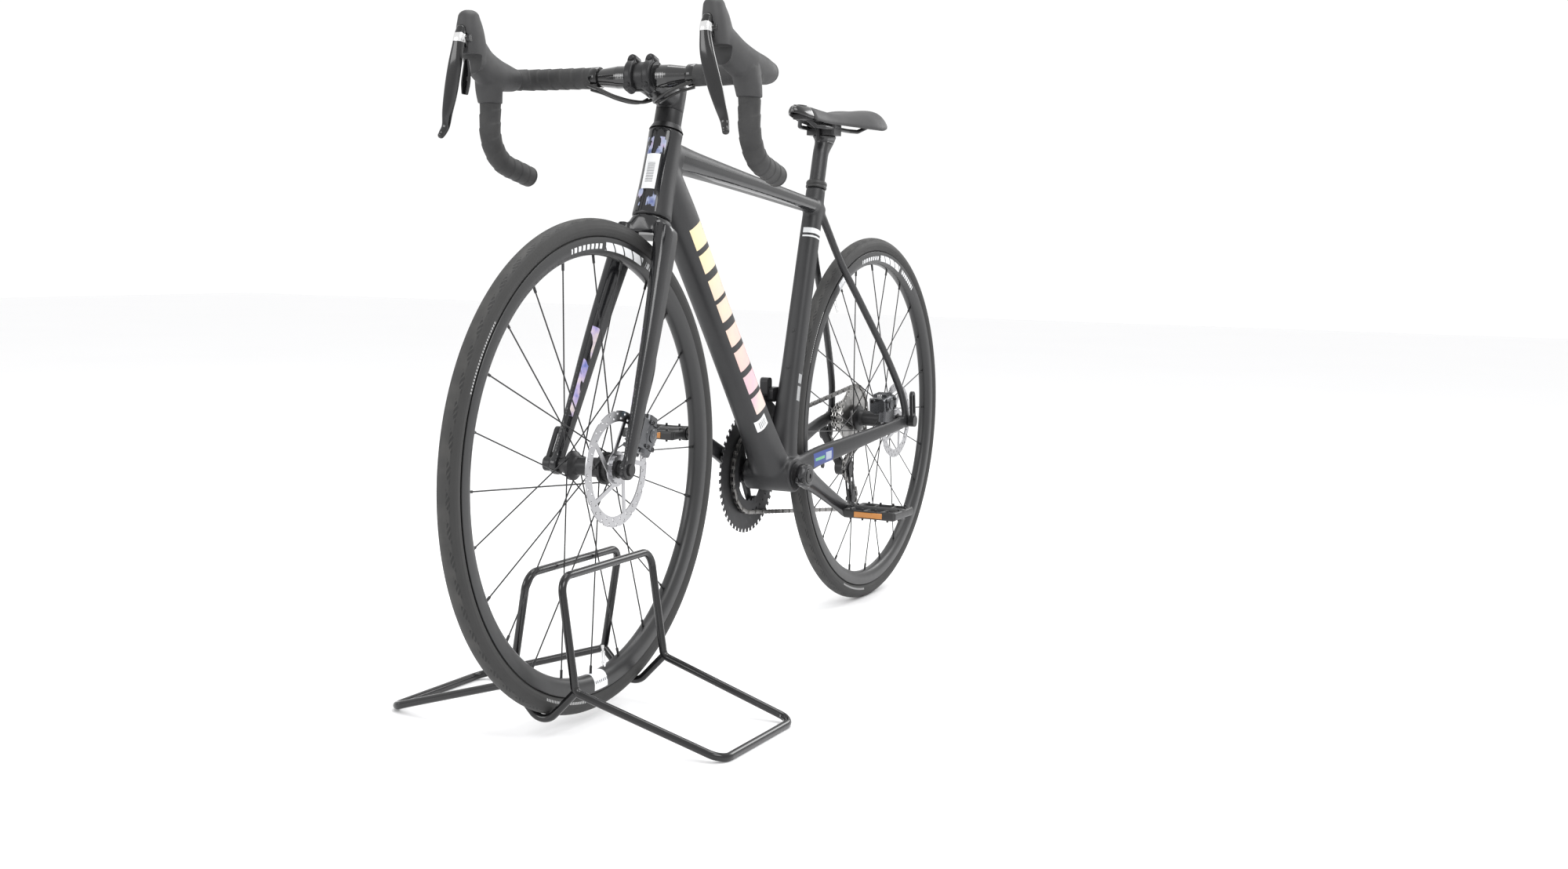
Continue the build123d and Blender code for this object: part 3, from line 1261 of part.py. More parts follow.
with BuildPart() as pedal_axles:
    for side in (1, -1):
        eye = BB + ARM_DIR * side * CRANK_LENGTH
        with BuildSketch(across(eye, side * 60.0)):
            Circle(7.0)
        extrude(amount=side * (Q_HALF - 60.0))
        with BuildSketch(across(eye, side * Q_HALF)):
            Circle(8.5)
        extrude(amount=side * 5.0)
        with BuildSketch(across(eye, side * (Q_HALF + 5.0))):
            Circle(PEDAL_AXLE_R)
        extrude(amount=side * 90.0)
save(pedal_axles.part, "pedal_axles")

# ---------------------------------------------------------------- disc calipers
def caliper(middle, along, wheel_centre, rotor_y, rotor_r, width):
    """A two-piston caliper body around a slot for the rotor."""
    with BuildPart() as body:
        with BuildSketch(Plane(origin=middle - along * 28, x_dir=(0, 1, 0), z_dir=along)):
            RectangleRounded(width * 0.8, 26, 7)
        with BuildSketch(Plane(origin=middle, x_dir=(0, 1, 0), z_dir=along)):
            RectangleRounded(width, 34, 8)
        with BuildSketch(Plane(origin=middle + along * 28, x_dir=(0, 1, 0), z_dir=along)):
            RectangleRounded(width * 0.8, 26, 7)
        loft(ruled=True)
        with BuildSketch(across(wheel_centre, rotor_y - 4.5)):
            Circle(rotor_r + 2.0)
        extrude(amount=9.0, mode=Mode.SUBTRACT)
    return body.part


def pads(middle, wheel_centre, rotor_y, rotor_r):
    """The two brake pads, just clear of the rotor's faces."""
    direction = Vector(middle.X - wheel_centre.X, 0, middle.Z - wheel_centre.Z).normalized()
    with BuildPart() as body:
        for pad_side in (1, -1):
            spot = Vector(wheel_centre.X, rotor_y + pad_side * 1.4, wheel_centre.Z)
            spot += direction * (rotor_r - 8.5)
            with BuildSketch(Plane(origin=spot, x_dir=direction, z_dir=(0, pad_side, 0))):
                RectangleRounded(16, 28, 3)
            extrude(amount=3.0)
    return body.part


LEG_DIR = (leg_end - leg_top).normalized()
LEG_FLAT = Vector(LEG_DIR.X, 0, LEG_DIR.Z).normalized()
front_caliper_at = Vector(HUB_F.X - 66, FRONT_ROTOR_Y, HUB_F.Z + 40)
rear_caliper_at = Vector(HUB_R.X + 66, REAR_ROTOR_Y, HUB_R.Z + 36)
with BuildPart() as front_caliper:
    add(caliper(front_caliper_at, LEG_FLAT, HUB_F, FRONT_ROTOR_Y, 80.0, 38))
    foot = front_caliper_at + Vector(8, 9.5, 2)
    foot_dir = Vector(-LEG_FLAT.Z, 0, LEG_FLAT.X)
    with BuildSketch(Plane(origin=foot, x_dir=(0, 1, 0), z_dir=foot_dir)):
        RectangleRounded(14, 44, 4)
    extrude(amount=20.0)
    add(pads(front_caliper_at, HUB_F, FRONT_ROTOR_Y, 80.0))
with BuildPart() as rear_caliper:
    add(caliper(rear_caliper_at, Vector(0.99, 0, -0.1).normalized(), HUB_R, REAR_ROTOR_Y, 70.0, 36))
    with BuildSketch(Plane(origin=rear_caliper_at + Vector(2, 9, -8), z_dir=(0.1, 0, -1))):
        RectangleRounded(48, 14, 4)
    extrude(amount=26.0)
    add(pads(rear_caliper_at, HUB_R, REAR_ROTOR_Y, 70.0))
save(front_caliper.part, "front_caliper")
save(rear_caliper.part, "rear_caliper")

# ---------------------------------------------------------------- derailleur cable
with BuildPart() as derailleur_cable:
    add(hose([
        (HUB_R.X + 42, -78, HUB_R.Z - 12),
        (HUB_R.X + 10, -88, HUB_R.Z - 12),
        (HUB_R.X - 24, -96, HUB_R.Z - 22),
        (HUB_R.X - 34, -96, HUB_R.Z - 50),
        (HUB_R.X - 16, -88, HUB_R.Z - 68),
    ], 2.0))
save(derailleur_cable.part, "derailleur_cable")
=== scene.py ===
import math

import bpy
import numpy as np
from mathutils import Matrix, Vector


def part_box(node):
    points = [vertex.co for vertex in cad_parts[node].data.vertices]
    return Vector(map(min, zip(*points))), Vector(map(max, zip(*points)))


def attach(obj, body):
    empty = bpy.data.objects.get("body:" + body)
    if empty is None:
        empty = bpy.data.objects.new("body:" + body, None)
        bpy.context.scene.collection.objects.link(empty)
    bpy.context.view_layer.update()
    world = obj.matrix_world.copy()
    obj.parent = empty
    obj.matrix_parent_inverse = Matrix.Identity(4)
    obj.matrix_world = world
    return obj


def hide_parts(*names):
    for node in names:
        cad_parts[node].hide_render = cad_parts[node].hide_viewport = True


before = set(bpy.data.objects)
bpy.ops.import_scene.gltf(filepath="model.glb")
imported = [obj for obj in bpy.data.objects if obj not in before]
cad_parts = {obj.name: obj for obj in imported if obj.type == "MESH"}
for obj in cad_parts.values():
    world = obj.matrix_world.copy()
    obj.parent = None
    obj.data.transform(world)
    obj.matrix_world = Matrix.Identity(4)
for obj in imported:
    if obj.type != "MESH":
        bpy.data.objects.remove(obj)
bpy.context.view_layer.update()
V = Vector
X, Y, Z = V((1, 0, 0)), V((0, 1, 0)), V((0, 0, 1))

# ---------------------------------------------------------------- dimensions of the frame, in mm
HUB_F, HUB_R, BB = V((493, 0, 352)), V((-493, 0, 339)), V((-81, 0, 280))
STEER = V((-math.cos(math.radians(72.5)), 0, math.sin(math.radians(72.5))))
AHEAD = V((STEER.z, 0, -STEER.x))
FOOT = HUB_F - AHEAD * 48
SEAT = V((-math.cos(math.radians(74.9)), 0, math.sin(math.radians(74.9))))
SEAT_TOP = V((-233, 0, 758))
BAR = FOOT + STEER * 555 + AHEAD * 82
BAR_Y = 205
TAPE_PITCH, TAPE_RADIUS = 19, 14.1
ARM = V((-math.cos(math.radians(26)), 0, -math.sin(math.radians(26))))
HEAD_LOW, HEAD_TOP = 372, 505
DOWN_TOP, TOP_FRONT, TOP_REAR = V((307, 0, 762)), V((303, 0, 786)), V((-226, 0, 727))


def steer_point(along, front=0, side=0):
    return FOOT + STEER * along + AHEAD * front + V((0, side, 0))


def seat_point(z):
    return SEAT_TOP + SEAT * ((z - SEAT_TOP.z) / SEAT.z)


# ---------------------------------------------------------------- shader expressions
class Ex:
    """A float socket of a material's node tree that takes part in arithmetic."""

    def __init__(self, tree, socket):
        self.tree, self.socket = tree, socket

    def op(self, kind, *others):
        node = self.tree.nodes.new("ShaderNodeMath")
        node.operation = kind
        for i, other in enumerate((self, *others)):
            if isinstance(other, Ex):
                self.tree.links.new(other.socket, node.inputs[i])
            else:
                node.inputs[i].default_value = other
        return Ex(self.tree, node.outputs[0])

    def __add__(self, other):
        return self.op("ADD", other)

    def __sub__(self, other):
        return self.op("SUBTRACT", other)

    def __mul__(self, other):
        return self.op("MULTIPLY", other)

    def __truediv__(self, other):
        return self.op("DIVIDE", other)

    def clamp(self):
        node = self.tree.nodes.new("ShaderNodeClamp")
        self.tree.links.new(self.socket, node.inputs[0])
        return Ex(self.tree, node.outputs[0])

    def over(self, edge, soft):
        """0 below the edge, 1 above it."""
        return ((self - (edge - soft / 2)) / soft).clamp()

    def band(self, low, high, soft=0.4):
        return self.over(low, soft) * (self * -1).over(-high, soft)


class Shade:
    """One Principled material being built, with object coordinates in millimetres."""

    def __init__(self, name, color, rough, metallic=0.0, coat=0.0):
        self.mat = bpy.data.materials.new(name)
        self.mat.use_nodes = True
        self.tree = self.mat.node_tree
        self.bsdf = self.tree.nodes["Principled BSDF"]
        self.bsdf.inputs["Metallic"].default_value = metallic
        self.bsdf.inputs["Coat Weight"].default_value = coat
        if coat:
            self.bsdf.inputs["Coat Roughness"].default_value = 0.06
        coord = self.tree.nodes.new("ShaderNodeTexCoord")
        self.vector = coord.outputs["Object"]
        split = self.tree.nodes.new("ShaderNodeSeparateXYZ")
        self.tree.links.new(self.vector, split.inputs[0])
        self.x, self.y, self.z = (Ex(self.tree, split.outputs[i]) * 1000 for i in range(3))
        self.color, self.rough, self.height = color, rough, None
        self.color_socket = None
        self.rough_ex = None

    def noise(self, size, detail=3.0, stretch=(1, 1, 1), rough=0.5):
        """Fractal noise whose blobs are about size mm."""
        mapping = self.tree.nodes.new("ShaderNodeMapping")
        mapping.inputs["Scale"].default_value = [1000 / size * s for s in stretch]
        self.tree.links.new(self.vector, mapping.inputs[0])
        node = self.tree.nodes.new("ShaderNodeTexNoise")
        node.inputs["Scale"].default_value = 1.0
        node.inputs["Detail"].default_value = detail
        node.inputs["Roughness"].default_value = rough
        self.tree.links.new(mapping.outputs[0], node.inputs["Vector"])
        return Ex(self.tree, node.outputs[0])

    def cells(self, size, feature="F1", stretch=(1, 1, 1)):
        mapping = self.tree.nodes.new("ShaderNodeMapping")
        mapping.inputs["Scale"].default_value = [1000 / size * s for s in stretch]
        self.tree.links.new(self.vector, mapping.inputs[0])
        node = self.tree.nodes.new("ShaderNodeTexVoronoi")
        node.feature = feature
        node.inputs["Scale"].default_value = 1.0
        self.tree.links.new(mapping.outputs[0], node.inputs["Vector"])
        return Ex(self.tree, node.outputs[0])

    def mix(self, factor, color):
        """Paints a colour where factor is 1."""
        node = self.tree.nodes.new("ShaderNodeMix")
        node.data_type = "RGBA"
        self.tree.links.new(factor.socket, node.inputs[0])
        if self.color_socket is None:
            node.inputs[6].default_value = (*self.color, 1)
        else:
            self.tree.links.new(self.color_socket, node.inputs[6])
        if hasattr(color, "__len__"):
            node.inputs[7].default_value = (*color, 1)
        else:
            self.tree.links.new(color, node.inputs[7])
        self.color_socket = node.outputs[2]

    def ramp(self, value, stops):
        node = self.tree.nodes.new("ShaderNodeValToRGB")
        elements = node.color_ramp.elements
        while len(elements) < len(stops):
            elements.new(0.5)
        for element, (at, color) in zip(elements, stops):
            element.position, element.color = at, (*color, 1)
        self.tree.links.new(value.socket, node.inputs[0])
        return node.outputs[0]

    def set_rough(self, factor, value):
        """Roughness becomes value where factor is 1."""
        base = self.rough_ex
        if base is None:
            self.rough_ex = factor * (value - self.rough) + self.rough
        else:
            self.rough_ex = base + (base * -1 + value) * factor

    def bump(self, height, depth, strength=1.0):
        """Adds a relief of depth mm."""
        node = self.tree.nodes.new("ShaderNodeBump")
        node.inputs["Distance"].default_value = depth / 1000
        node.inputs["Strength"].default_value = strength
        self.tree.links.new(height.socket, node.inputs["Height"])
        if self.height is not None:
            self.tree.links.new(self.height, node.inputs["Normal"])
        self.height = node.outputs[0]

    def done(self):
        if self.color_socket is None:
            self.bsdf.inputs["Base Color"].default_value = (*self.color, 1)
        else:
            self.tree.links.new(self.color_socket, self.bsdf.inputs["Base Color"])
        if self.rough_ex is None:
            self.bsdf.inputs["Roughness"].default_value = self.rough
        else:
            self.tree.links.new(self.rough_ex.clamp().socket, self.bsdf.inputs["Roughness"])
        if self.height is not None:
            self.tree.links.new(self.height, self.bsdf.inputs["Normal"])
        return self.mat


def plain(name, color, rough, metallic=0.0, coat=0.0, grain=0.6, depth=0.01, wear=None, spread=0.25):
    """A worn real surface: fine grain relief, slow tone changes, uneven roughness, optional wear colour."""
    s = Shade(name, color, rough, metallic, coat)
    slow = s.noise(38, 3)
    s.mix(slow.over(0.5, 0.5) * spread, [min(1, c * 1.9 + 0.012) for c in color])
    s.set_rough(s.noise(9, 4), min(1, rough * 1.35))
    if wear:
        spots = s.noise(5.5, 5, rough=0.7).over(0.68, 0.03) * s.noise(55, 2).over(0.56, 0.06)
        s.mix(spots, wear)
    s.bump(s.noise(grain, 2), depth)
    return s.done()


def stripe_marks(u, v, starts, widths, low, high):
    """Slanted blocks along u, between low and high in v, as one mask."""
    slanted = u + v * 0.22
    total = None
    for start, width in zip(starts, widths):
        block = slanted.band(start, start + width)
        total = block if total is None else total.op("MAXIMUM", block)
    return total * v.band(low, high)


def along(s, start, direction, side):
    """Distances along and across a line in the XZ plane, as expressions."""
    dx, dz = s.x - start.x, s.z - start.z
    return dx * direction.x + dz * direction.z, dx * side.x + dz * side.z


BLACK = (0.011, 0.0112, 0.0125)


def carbon(name):
    """Matte black frame paint, the base to which the frame and fork materials add glossy panels and plain
    generic graphics.
    """
    s = Shade(name, BLACK, 0.43)
    s.mix(s.noise(60, 2).over(0.5, 0.6) * 0.5, (0.019, 0.0192, 0.0205))
    s.set_rough(s.noise(14, 4), 0.5)
    s.bump(s.noise(0.55, 2), 0.006)
    return s


def frame_material():
    s = carbon("frame_paint")
    side_face = s.y.op("ABSOLUTE")
    # glossy panels: front of the head tube, underside of the top tube
    u, v = along(s, FOOT, STEER, AHEAD)
    front = v.over(9, 0.8) * side_face.band(-1, 18) * u.band(HEAD_LOW + 4, HEAD_TOP - 3)
    top_dir = (TOP_REAR - TOP_FRONT).normalized()
    top_side = V((-top_dir.z, 0, top_dir.x))
    tu, tv = along(s, TOP_FRONT, top_dir, top_side)
    under = tu.band(26, 505) * side_face.over(8, 1)
    gloss_top = under * tv.band(-16, 3) if top_side.z > 0 else under * tv.band(-3, 16)
    s.set_rough(front.op("MAXIMUM", gloss_top), 0.09)
    # plain patches on the head tube's front
    label = front * u.band(HEAD_LOW + 38, HEAD_TOP - 42) * side_face.band(-1, 11)
    flecks = front * s.noise(9, 2, (1, 1, 0.4)).over(0.53, 0.04) * side_face.band(3, 15)
    tint = s.ramp(s.noise(16, 2), [(0.3, (0.10, 0.13, 0.30)), (0.55, (0.36, 0.40, 0.55)),
                                   (0.75, (0.5, 0.34, 0.5))])
    ends = u.band(HEAD_LOW + 12, HEAD_LOW + 38).op("MAXIMUM", u.band(HEAD_TOP - 42, HEAD_TOP - 16))
    s.mix(flecks * ends, tint)
    s.mix(label, (0.78, 0.79, 0.8))
    bars = (u / 2.3).op("FRACT").over(0.5, 0.1) * side_face.band(-1, 6)
    s.mix(label * bars * u.band(HEAD_LOW + 48, HEAD_TOP - 55), (0.2, 0.2, 0.21))
    # slanted plain blocks down both sides of the down tube
    down = (BB - DOWN_TOP).normalized()
    du, dv = along(s, DOWN_TOP, down, V((-down.z, 0, down.x)))
    starts, widths = (98, 146, 194, 240, 292, 338, 390, 436), (38, 34, 38, 36, 34, 40, 36, 34)
    marks = stripe_marks(du, dv, starts, widths, -19, 17) * side_face.over(15, 0.6)
    tone = (du - 90) / 380 + s.noise(34, 2) * 0.5 - 0.24
    warm = s.ramp(tone, [(0.0, (0.80, 0.68, 0.40)), (0.25, (0.80, 0.62, 0.44)), (0.5, (0.76, 0.56, 0.46)),
                         (0.7, (0.70, 0.48, 0.45)), (0.85, (0.64, 0.44, 0.50)), (1.0, (0.70, 0.56, 0.50))])
    s.mix(marks, warm)
    s.set_rough(marks, 0.25)
    # small plain labels
    tag = du.band(478, 500) * dv.band(0, 24) * s.y.over(12, 0.5)
    s.mix(tag, (0.75, 0.76, 0.77))
    rows = (dv / 3.2).op("FRACT").over(0.55, 0.1)
    s.mix(tag * rows * du.band(483, 496) * dv.band(4, 20), (0.15, 0.15, 0.15))
    su, sv = along(s, SEAT_TOP, SEAT, V((SEAT.z, 0, -SEAT.x)))
    tube = sv.band(-24, 24)
    belt = su.band(-89, -66) * (su.band(-82, -73).op("MAXIMUM", su.band(-89, -86))) * tube
    s.mix(belt * s.y.over(-6, 1), (0.62, 0.63, 0.64))
    spine = sv.band(-14.5, -9) * su.band(-330, -95) * s.noise(7, 1, (1, 1, 0.3)).over(0.47, 0.03)
    s.mix(spine * s.y.over(4, 1), (0.2, 0.21, 0.22))
    for low_end, high_end in ((-372, -347), (-342, -326)):
        s.mix(su.band(low_end, high_end) * sv.band(-6, 6) * s.y.over(8, 0.5), (0.3, 0.305, 0.31))
    stay = V((-0.966, 0, 0.118)).normalized()
    cu, cv = along(s, V((-150, 0, 291)), stay, V((-stay.z, 0, stay.x)))
    sticker = cu.band(18, 78) * cv.band(-13, 11) * s.y.over(20, 1)
    s.mix(sticker, (0.035, 0.06, 0.24))
    s.mix(sticker * cu.band(23, 52) * cv.band(-4, 1), (0.16, 0.42, 0.22))
    s.mix(sticker * cu.band(56, 73) * cv.band(-8, 6), (0.36, 0.4, 0.5))
    return s.done()


def fork_material():
    s = carbon("fork_paint")
    side_face = s.y.op("ABSOLUTE")
    top = steer_point(HEAD_LOW - 14, 6)
    direction = (HUB_F - top).normalized()
    u, v = along(s, top, direction, V((-direction.z, 0, direction.x)))
    front = v.over(3, 2.5)
    s.set_rough(front, 0.14)
    flecks = s.noise(13, 1, (1, 1, 0.45)).over(0.45, 0.03) * u.band(160, 292)
    tint = s.ramp(s.noise(26, 3), [(0.3, (0.16, 0.2, 0.5)), (0.45, (0.5, 0.42, 0.66)),
                                   (0.6, (0.72, 0.62, 0.6)), (0.75, (0.3, 0.5, 0.62))])
    inner = (side_face - u * 0.062).band(16, 34)
    s.mix(flecks * v.over(5.2, 0.6) * inner * (side_face - u * 0.062).band(20, 31), tint)
    one_side = s.y.over(-40, 1) * (s.y * -1).over(8, 1)
    s.mix(u.band(36, 44) * side_face.band(14, 24) * (v * -1).over(-12, 1) * one_side, (0.5, 0.5, 0.5))
    return s.done()


def wheel_material(name, centre, valve_angle, rim_part):
    """Rim or tyre surface with marks placed by angle and radius."""
    s = Shade(name, (0.012, 0.0122, 0.013), 0.3) if rim_part else Shade(name, (0.021, 0.0208, 0.0205), 0.62)
    dx, dz = s.x - centre.x, s.z - centre.z
    radius = (dx * dx + dz * dz).op("SQRT")
    angle = dz.op("ARCTAN2", dx) * (180 / math.pi)
    arc = angle * 5.45
    side_face = s.y.op("ABSOLUTE")
    if rim_part:
        s.set_rough(s.noise(12, 4), 0.42)
        s.bump(s.noise(0.7, 2), 0.004)
        flank = side_face.over(7.5, 0.6)
        block_a = arc.band(505, 610) * radius.band(296, 307)
        block_b = arc.band(620, 690) * radius.band(298, 306) * (arc / 9).op("FRACT").over(0.3, 0.05)
        block_c = arc.band(415, 495) * radius.band(298, 305) * (arc / 11).op("FRACT").over(0.4, 0.05)
        seams = ((arc + radius) / 26).op("FRACT").band(0.86, 1.1, 0.02)
        marks = block_a * (seams * -1 + 1) + block_b + block_c
        s.mix(marks.clamp() * flank, (0.72, 0.73, 0.74))
        tag = (angle - valve_angle).band(2.2, 8.5, 0.1)
        s.mix(tag * radius.band(288, 311), (0.76, 0.77, 0.79))
        s.mix(tag * radius.band(298, 302) * (arc / 5).op("FRACT").over(0.5, 0.1), (0.12, 0.12, 0.13))
    else:
        tread = (side_face * -1).over(-8.4, 0.8)
        s.mix(tread * 0.9, (0.03, 0.0298, 0.0292))
        s.mix(s.noise(30, 4).over(0.52, 0.2) * tread * 0.6, (0.05, 0.0485, 0.046))
        # shoulder pattern: groups of slanted lozenges, darker and slightly sunk
        saw = ((arc + side_face * 2.6) / 34).op("FRACT").band(0.12, 0.7, 0.03)
        fine = ((arc - side_face * 2.1) / 8.5).op("FRACT").over(0.42, 0.08)
        lozenge = saw * fine * side_face.band(5.6, 9.6, 0.5)
        s.mix(lozenge, (0.012, 0.012, 0.012))
        s.bump(lozenge * -1, 0.35)
        flank = side_face.over(9.5, 0.5) * radius.band(315, 330)
        dashes = flank * radius.band(320, 323.4) * (arc / 4.1).op("FRACT").over(0.45, 0.06)
        s.mix(dashes * (angle.band(-84, -66).op("MAXIMUM", angle.band(22, 40))), (0.4, 0.4, 0.4))
        s.bump((radius * 1.3).op("SINE") * side_face.over(10, 1), 0.08)
        s.bump(s.noise(1.1, 3), 0.05)
        s.set_rough(s.noise(26, 3), 0.75)
    return s.done()


def tape_material():
    s = Shade("bar_tape_cover", (0.022, 0.022, 0.0225), 0.62)
    s.mix(s.noise(22, 4).over(0.5, 0.3) * 0.7, (0.036, 0.0358, 0.036))
    s.set_rough(s.noise(8, 3), 0.78)
    s.bump(s.cells(1.15) * -1, 0.09)
    s.bump(s.noise(5, 3), 0.16)
    return s.done()


def hood_material():
    s = Shade("hood_rubber", (0.03, 0.03, 0.031), 0.55)
    s.mix(s.noise(30, 3).over(0.5, 0.4) * 0.6, (0.042, 0.042, 0.043))
    s.set_rough(s.noise(10, 3), 0.68)
    s.bump(s.cells(1.7) * -1, 0.05)
    s.bump(s.noise(0.8, 2), 0.02)
    return s.done()


def saddle_material():
    s = Shade("saddle_cover_leather", (0.031, 0.031, 0.032), 0.5)
    s.mix(s.noise(40, 3).over(0.5, 0.4) * 0.6, (0.047, 0.047, 0.048))
    dots = s.cells(2.6).over(0.33, 0.06) * (s.x * -1).over(352, 12) * s.y.op("ABSOLUTE").over(34, 10)
    s.mix(dots * -0.8 + 0.8, (0.036, 0.036, 0.037))
    s.set_rough(s.noise(12, 3), 0.62)
    s.bump(dots * -1, 0.25)
    s.bump(s.noise(0.9, 4, rough=0.6), 0.05)
    return s.done()


def bar_material():
    s = Shade("bar_gloss_black", (0.009, 0.009, 0.0095), 0.14, 0, 0.5)
    ticks = (s.y.op("ABSOLUTE") / 2.5).op("FRACT").over(0.8, 0.05) * s.y.op("ABSOLUTE").band(25, 38)
    ahead = (s.x - BAR.x).over(12.2, 0.8) * (s.z - BAR.z).band(-4, 4)
    s.mix(ticks * ahead, (0.45, 0.45, 0.45))
    s.set_rough(s.noise(9, 3), 0.2)
    s.bump(s.noise(1.0, 2), 0.004)
    return s.done()


def cog_material():
    """Bright toothed rims with painted shade darkening the recesses between one gear and the next."""
    s = Shade("cassette_steel", (0.36, 0.355, 0.345), 0.24, 1.0)
    # painted shade: the dark colour stands in for the shadow in the gaps between neighbouring cogs
    painted_gap_shade = ((s.y + 28.6) / 3.72).op("ABSOLUTE").op("FRACT").band(0.3, 0.7, 0.04)
    s.mix(painted_gap_shade, (0.03, 0.03, 0.03))
    s.mix(s.noise(6, 4).over(0.6, 0.1) * 0.4, (0.12, 0.115, 0.105))
    s.set_rough(s.noise(9, 4), 0.34)
    s.bump(s.noise(0.6, 2), 0.01)
    return s.done()


MATS = dict(
    bar=bar_material(),
    frame=frame_material(), fork=fork_material(), tape=tape_material(), hood=hood_material(),
    saddle=saddle_material(),
    gloss=plain("gloss_black", (0.004, 0.004, 0.0044), 0.12, 0, 0.12, 1.2, 0.003),
    satin=plain("satin_black_alloy", (0.016, 0.016, 0.017), 0.34, 0.4, 0, 0.7, 0.005),
    matte=plain("matte_black_plastic", (0.02, 0.02, 0.021), 0.55, 0, 0, 0.8, 0.02),
    stand=plain("stand_paint", (0.005, 0.005, 0.0055), 0.15, 0, 0, 4.0, 0.03, (0.33, 0.33, 0.33)),
    steel=plain("rotor_steel", (0.35, 0.35, 0.36), 0.26, 1.0, 0, 0.4, 0.006),
    cogs=cog_material(),
    chain=plain("chain_steel", (0.2, 0.195, 0.19), 0.3, 1.0, 0, 0.6, 0.01, (0.1, 0.095, 0.09)),
    silver=plain("polished_silver", (0.72, 0.72, 0.72), 0.16, 1.0, 0, 1.0, 0.004),
    spoke=plain("spoke_black", (0.03, 0.03, 0.031), 0.28, 0.7, 0, 0.5, 0.003),
    ring=plain("chainring_grey", (0.035, 0.035, 0.037), 0.36, 0.7, 0, 0.6, 0.01, (0.25, 0.25, 0.25)),
    caliper=plain("caliper_grey", (0.085, 0.087, 0.092), 0.22, 0.9, 0, 0.6, 0.01),
    crank=plain("crank_grey", (0.014, 0.014, 0.0155), 0.3, 0.3, 0.2, 0.8, 0.006, (0.08, 0.08, 0.08)),
    pedal=plain("pedal_plastic", (0.013, 0.013, 0.0135), 0.36, 0, 0, 0.9, 0.03, (0.16, 0.16, 0.16)),
    amber=plain("reflector_amber", (0.40, 0.16, 0.03), 0.16, 0, 0.3, 2.4, 0.25),
    post=plain("seatpost_black", (0.012, 0.012, 0.013), 0.3, 0, 0, 0.6, 0.006),
    hose=plain("hose_black", (0.011, 0.011, 0.011), 0.3, 0, 0, 0.8, 0.01),
)


# ---------------------------------------------------------------- mesh building, in mm
def make(name, verts, faces, mat, body, flip=False, slot=None, stands_for=(), angle=None):
    """A finished piece riding on a body; flip mirrors it to the right side."""
    pts = [(v[0], -v[1] if flip else v[1], v[2]) for v in verts]
    loops = [tuple(reversed(f)) for f in faces] if flip else faces
    mesh = bpy.data.meshes.new(name)
    mesh.from_pydata([(p[0] / 1000, p[1] / 1000, p[2] / 1000) for p in pts], [], loops)
    mesh.validate()
    mesh.materials.append(mat)
    obj = bpy.data.objects.new(name, mesh)
    bpy.context.scene.collection.objects.link(obj)
    smooth(obj, angle)
    if body:
        finish(obj, body, stands_for)
    return obj


def smooth(obj, angle=None):
    mesh = obj.data
    mesh.polygons.foreach_set("use_smooth", [True] * len(mesh.polygons))
    if angle:
        mesh.set_sharp_from_angle(angle=math.radians(angle))


def finish(obj, body, stands_for=()):
    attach(obj, body)
    if stands_for:
        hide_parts(*stands_for)
    return obj


def spline(values, steps):
    """Catmull-Rom samples through rows of numbers, at evenly spread parameters."""
    rows = np.array(values, float)
    padded = np.vstack([2 * rows[0] - rows[1], rows, 2 * rows[-1] - rows[-2]])
    out = []
    for i in range(len(rows) - 1):
        a, b, c, d = padded[i:i + 4]
        for k in range(steps):
            t = k / steps
            out.append(0.5 * (2 * b + (c - a) * t + (2 * a - 5 * b + 4 * c - d) * t * t
                              + (3 * b - a - 3 * c + d) * t ** 3))
    out.append(rows[-1])
    return np.array(out)


def ring(centre, first, second, width, depth, power, count):
    points = []
    for i in range(count):
        a = 2 * math.pi * i / count
        c, s = math.cos(a), math.sin(a)
        points.append(centre + first * (math.copysign(abs(c) ** (2 / power), c) * width / 2)
                      + second * (math.copysign(abs(s) ** (2 / power), s) * depth / 2))
    return points


def skin(rings, caps=True, closed=False):
    """Verts and faces joining rings of equal length."""
    count = len(rings[0])
    verts = [p for r in rings for p in r]
    faces = []
    total = len(rings)
    for i in range(total if closed else total - 1):
        j = (i + 1) % total
        for k in range(count):
            m = (k + 1) % count
            faces.append((i * count + k, i * count + m, j * count + m, j * count + k))
    if caps and not closed:
        for base, order in ((0, -1), ((total - 1) * count, 1)):
            centre = sum((V(verts[base + k]) for k in range(count)), V((0, 0, 0))) / count
            verts.append(centre)
            for k in range(count):
                pair = (base + k, base + (k + 1) % count)
                faces.append((*(pair if order > 0 else reversed(pair)), len(verts) - 1))
    return verts, faces


def body(stations, steps=6, count=32, side=Y, blunt=True):
    """A smooth tube through (centre, direction, width, depth, power) stations; width runs along side."""
    rows = [(*c, *V(d).normalized(), w, h, p) for c, d, w, h, p in stations]
    rings = []
    samples = spline(rows, steps)
    for row in samples:
        direction = V(row[3:6]).normalized()
        across = (side - direction * side.dot(direction)).normalized()
        rings.append(ring(V(row[0:3]), across, direction.cross(across), row[6], row[7], row[8], count))
    if not blunt:
        for end, sign in ((0, -1), (-1, 1)):
            row = samples[end]
            direction = V(row[3:6]).normalized() * sign
            across = (side - direction * side.dot(direction)).normalized()
            up = (V(row[3:6]).normalized()).cross(across)
            radius = min(row[6], row[7]) / 2
            extra = []
            for t in (0.35, 0.65, 0.88, 0.98):
                less = 2 * radius * (1 - math.sqrt(1 - t * t))
                centre = V(row[0:3]) + direction * radius * t * 0.8
                extra.append(ring(centre, across, up, row[6] - less, row[7] - less, row[8], count))
            rings = list(reversed(extra)) + rings if end == 0 else rings + extra
    return skin(rings)


def placed(place, *rows):
    """Stations for body(); place turns the offset that each row starts with into a point."""
    return [(place(*offset), direction, width, depth, power) for offset, direction, width, depth,
            power in rows]


